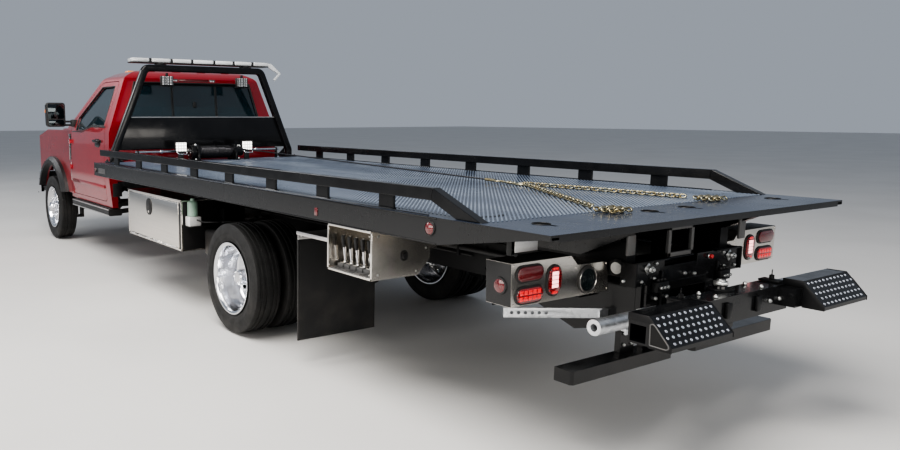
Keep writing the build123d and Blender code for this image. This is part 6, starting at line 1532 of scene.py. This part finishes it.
def inside_dress():
    """Seams on the bench, dashboard face with screen and dials, and a rearview mirror."""
    seams = []
    for x in (-0.23, 0.23):
        seams += [bar(0.005, (x, 1.47, 1.171), (x, 1.93, 1.171), 8, 0),
                  bar(0.005, (x, 1.945, 1.19), (x, 1.978, 1.595), 8, 0)]
    fit("seat_seams", seams, "cab_interior", finish="black_plastic")
    fit("dash_panels", [block((-0.12, 1.035, 1.20), (0.12, 1.045, 1.33), 0.004),
                        block((0.25, 1.02, 1.24), (0.55, 1.045, 1.35), 0.01),
                        block((0.22, 0.97, 1.345), (0.58, 1.06, 1.372), 0.01)], "black_plastic")
    fit("rearview_mirror", [block((-0.12, 1.315, 1.80), (0.12, 1.335, 1.87), 0.01)], "black_plastic")


# Stage

# Name, size, energy, place, target and colour of each soft light
LIGHTS = (
    ("key", (7, 6), 1900, (4.5, 3.0, 9.0), (0, 1.5, 0.8), (1.0, 0.96, 0.91)),
    ("side", (10, 2.5), 420, (9.5, 2.0, 2.6), (0, 1.0, 0.8), (1.0, 0.95, 0.88)),
    ("tail", (10, 3), 520, (2.0, 13.0, 3.0), (0, 2.0, 0.8), (1.0, 0.95, 0.88)),
    ("front", (6, 3), 320, (6.5, -11.0, 6.5), (0, -3.0, 1.0), (1, 1, 1)),
)


def aimed(name, data, spot, look):
    """A camera or a lamp at a spot, turned along a direction."""
    made = bpy.data.objects.new(name, data)
    bpy.context.scene.collection.objects.link(made)
    made.location = spot
    made.rotation_euler = Vector(look).to_track_quat("-Z", "Y").to_euler()
    return made


def camera_at_the_photograph():
    """The photograph's viewpoint, found from the truck's straight edges in it."""
    view = bpy.data.cameras.new("camera")
    view.sensor_width = 36.0
    view.lens = 30.88
    view.shift_x = 0.1619
    view.shift_y = 0.011
    view.clip_end = 200
    yaw, pitch = 0.569, -0.153
    look = (-math.sin(yaw) * math.cos(pitch), -math.cos(yaw) * math.cos(pitch), math.sin(pitch))
    bpy.context.scene.camera = aimed("camera", view, (3.657, 6.384, 1.568), look)


def studio_floor():
    floor = joined("studio_floor", [settle(fresh(bpy.ops.mesh.primitive_plane_add, size=160, location=(0, 0, 0)))])
    f = Finish("studio_floor")
    pale = colours().floor
    f.feed("Base Color", f.mix(f.noise(0.6, 5.0).ramp(0.3, 0.7), rgba(pale), rgba(pale, 0.93)))
    f.feed("Roughness", f.noise(3.0) * 0.1 + 0.62)
    floor.data.materials.append(f.material)


def studio_light():
    world = bpy.data.worlds.new("studio")
    bpy.context.scene.world = world
    world.use_nodes = True
    back = world.node_tree.nodes["Background"]
    back.inputs[0].default_value = (0.72, 0.79, 0.90, 1)
    back.inputs[1].default_value = 0.42
    for name, size, energy, spot, target, colour in LIGHTS:
        lamp = bpy.data.lights.new(name, "AREA")
        lamp.shape = "RECTANGLE"
        lamp.size, lamp.size_y = size
        lamp.energy = energy
        lamp.color = colour
        aimed(name, lamp, spot, Vector(target) - Vector(spot))
    bpy.context.scene.view_settings.look = "AgX - Medium High Contrast"


# Operators

class Step:
    bl_options = {"REGISTER", "UNDO"}

    def execute(self, context):
        for make in self.makers:
            make()
        return {"FINISHED"}


class MakeFinishes(Step, bpy.types.Operator):
    """Make all finishes and give them to the frame's nodes"""
    bl_idname = "truck.finishes"
    bl_label = "Finishes"
    makers = (make_finishes, dress_frame)


class MakeStage(Step, bpy.types.Operator):
    """Camera, floor and soft studio light"""
    bl_idname = "truck.stage"
    bl_label = "Stage"
    makers = (camera_at_the_photograph, studio_floor, studio_light)


class MakeWheels(Step, bpy.types.Operator):
    """Tyres with tread, forged rims, nuts and hub caps"""
    bl_idname = "truck.wheels"
    bl_label = "Wheels"
    makers = (wheel_set,)


class MakeChain(Step, bpy.types.Operator):
    """Round-wire chain on the deck with its pear link"""
    bl_idname = "truck.chain"
    bl_label = "Chain"
    makers = (chain,)


class MakeBedPlates(Step, bpy.types.Operator):
    """Deck ribs, weld beads, chain slots, and the lamps, reflectors and flanges of the side channels"""
    bl_idname = "truck.bed_plates"
    bl_label = "Deck plates"
    makers = (deck_ribs, deck_details, channel_details)


class MakeRack(Step, bpy.types.Operator):
    """Hoop, feet, gussets and panel edge of the rack at the front of the bed"""
    bl_idname = "truck.rack"
    bl_label = "Headache rack"
    makers = (rack_details,)


class MakeBedLamps(Step, bpy.types.Operator):
    """Light bar, work lamps and lit winch lamps"""
    bl_idname = "truck.bed_lamps"
    bl_label = "Bed lamps"
    makers = (work_lamps, light_bar)


class MakeWinch(Step, bpy.types.Operator):
    """Wound drum, gearbox, motor and tensioner rod"""
    bl_idname = "truck.winch"
    bl_label = "Winch"
    makers = (winch_dress,)


class MakeCable(Step, bpy.types.Operator):
    """Twisted strands and the hook at the cable's end"""
    bl_idname = "truck.cable"
    bl_label = "Cable"
    makers = (cable_dress,)


class MakeTailLights(Step, bpy.types.Operator):
    """Lamps in rubber grommets on the rear panels"""
    bl_idname = "truck.tail_lights"
    bl_label = "Tail lights"
    makers = (tail_lights,)


class MakeTailFittings(Step, bpy.types.Operator):
    """Bolts, plates and couplings about the tail frame"""
    bl_idname = "truck.tail_fittings"
    bl_label = "Tail fittings"
    makers = (tail_fittings,)


class MakeGripSteps(Step, bpy.types.Operator):
    """Raised drain holes and folded edges of the steps"""
    bl_idname = "truck.grip_steps"
    bl_label = "Grip steps"
    makers = (grip_steps,)


class MakeLift(Step, bpy.types.Operator):
    """Swivel nut, pins, galvanised tubes and boom collar"""
    bl_idname = "truck.lift"
    bl_label = "Wheel lift"
    makers = (lift_fittings,)


class MakeToolboxes(Step, bpy.types.Operator):
    """Polished skins, latches and hinges"""
    bl_idname = "truck.toolboxes"
    bl_label = "Toolboxes"
    makers = (toolbox_dress,)


class MakeControlBoxes(Step, bpy.types.Operator):
    """Levers, valves, hoses and rims"""
    bl_idname = "truck.control_boxes"
    bl_label = "Control boxes"
    makers = (control_box_dress,)


class MakeFlaps(Step, bpy.types.Operator):
    """Strips, bolts and shelf edges"""
    bl_idname = "truck.flaps"
    bl_label = "Mud flaps"
    makers = (flap_dress,)


class MakeBottles(Step, bpy.types.Operator):
    """Canister and box behind the toolbox"""
    bl_idname = "truck.bottles"
    bl_label = "Canister"
    makers = (bottles,)


class MakeChassis(Step, bpy.types.Operator):
    """Frame bolts, spring bolts and looms"""
    bl_idname = "truck.chassis"
    bl_label = "Chassis fittings"
    makers = (chassis_fittings,)


class MakeDoors(Step, bpy.types.Operator):
    """Seals, handles and mirrors"""
    bl_idname = "truck.doors"
    bl_label = "Doors"
    makers = (doors_dress,)


class MakeCabBack(Step, bpy.types.Operator):
    """Rear window seal, high lamp and roof lamps"""
    bl_idname = "truck.cab_back"
    bl_label = "Cab back and roof"
    makers = (cab_back_dress,)


class MakeFenders(Step, bpy.types.Operator):
    """Vents, bright strips and step pads"""
    bl_idname = "truck.fenders"
    bl_label = "Fenders and boards"
    makers = (fender_dress,)


class MakeFront(Step, bpy.types.Operator):
    """Grille, headlamps, bumper and wipers"""
    bl_idname = "truck.front"
    bl_label = "Front"
    makers = (grille_dress, headlamp_dress, bumper_dress, cowl_dress)


class MakeInside(Step, bpy.types.Operator):
    """Seat seams and dashboard"""
    bl_idname = "truck.inside"
    bl_label = "Inside"
    makers = (inside_dress,)


class MakeEdges(Step, bpy.types.Operator):
    """Rounded edges on the boxy nodes of the frame"""
    bl_idname = "truck.edges"
    bl_label = "Edges"
    makers = (soften_all,)


class TruckPanel(bpy.types.Panel):
    bl_idname = "VIEW3D_PT_tow_truck"
    bl_label = "Flatbed tow truck"
    bl_space_type = "VIEW_3D"
    bl_region_type = "UI"
    bl_category = "Tow truck"

    def draw(self, context):
        for group in (sizes(), colours()):
            box = self.layout.box()
            for field in group.__annotations__:
                box.prop(group, field)
        for step in STEPS:
            self.layout.operator(step.bl_idname)


STEPS = (
    MakeFinishes, MakeStage, MakeWheels, MakeChain, MakeBedPlates, MakeRack, MakeBedLamps, MakeWinch, MakeCable,
    MakeTailLights, MakeTailFittings, MakeGripSteps, MakeLift, MakeToolboxes, MakeControlBoxes, MakeFlaps,
    MakeBottles, MakeChassis, MakeDoors, MakeCabBack, MakeFenders, MakeFront, MakeInside, MakeEdges,
)
CLASSES = (TruckSizes, TruckColours, *STEPS, TruckPanel)


def register():
    for made in CLASSES:
        bpy.utils.register_class(made)
    bpy.types.Scene.truck_sizes = bpy.props.PointerProperty(type=TruckSizes)
    bpy.types.Scene.truck_colours = bpy.props.PointerProperty(type=TruckColours)


def unregister():
    del bpy.types.Scene.truck_colours
    del bpy.types.Scene.truck_sizes
    for made in reversed(CLASSES):
        bpy.utils.unregister_class(made)


def main():
    register()
    for step in STEPS:
        group, action = step.bl_idname.split(".")
        getattr(getattr(bpy.ops, group), action)()


if __name__ == "__main__":
    main()
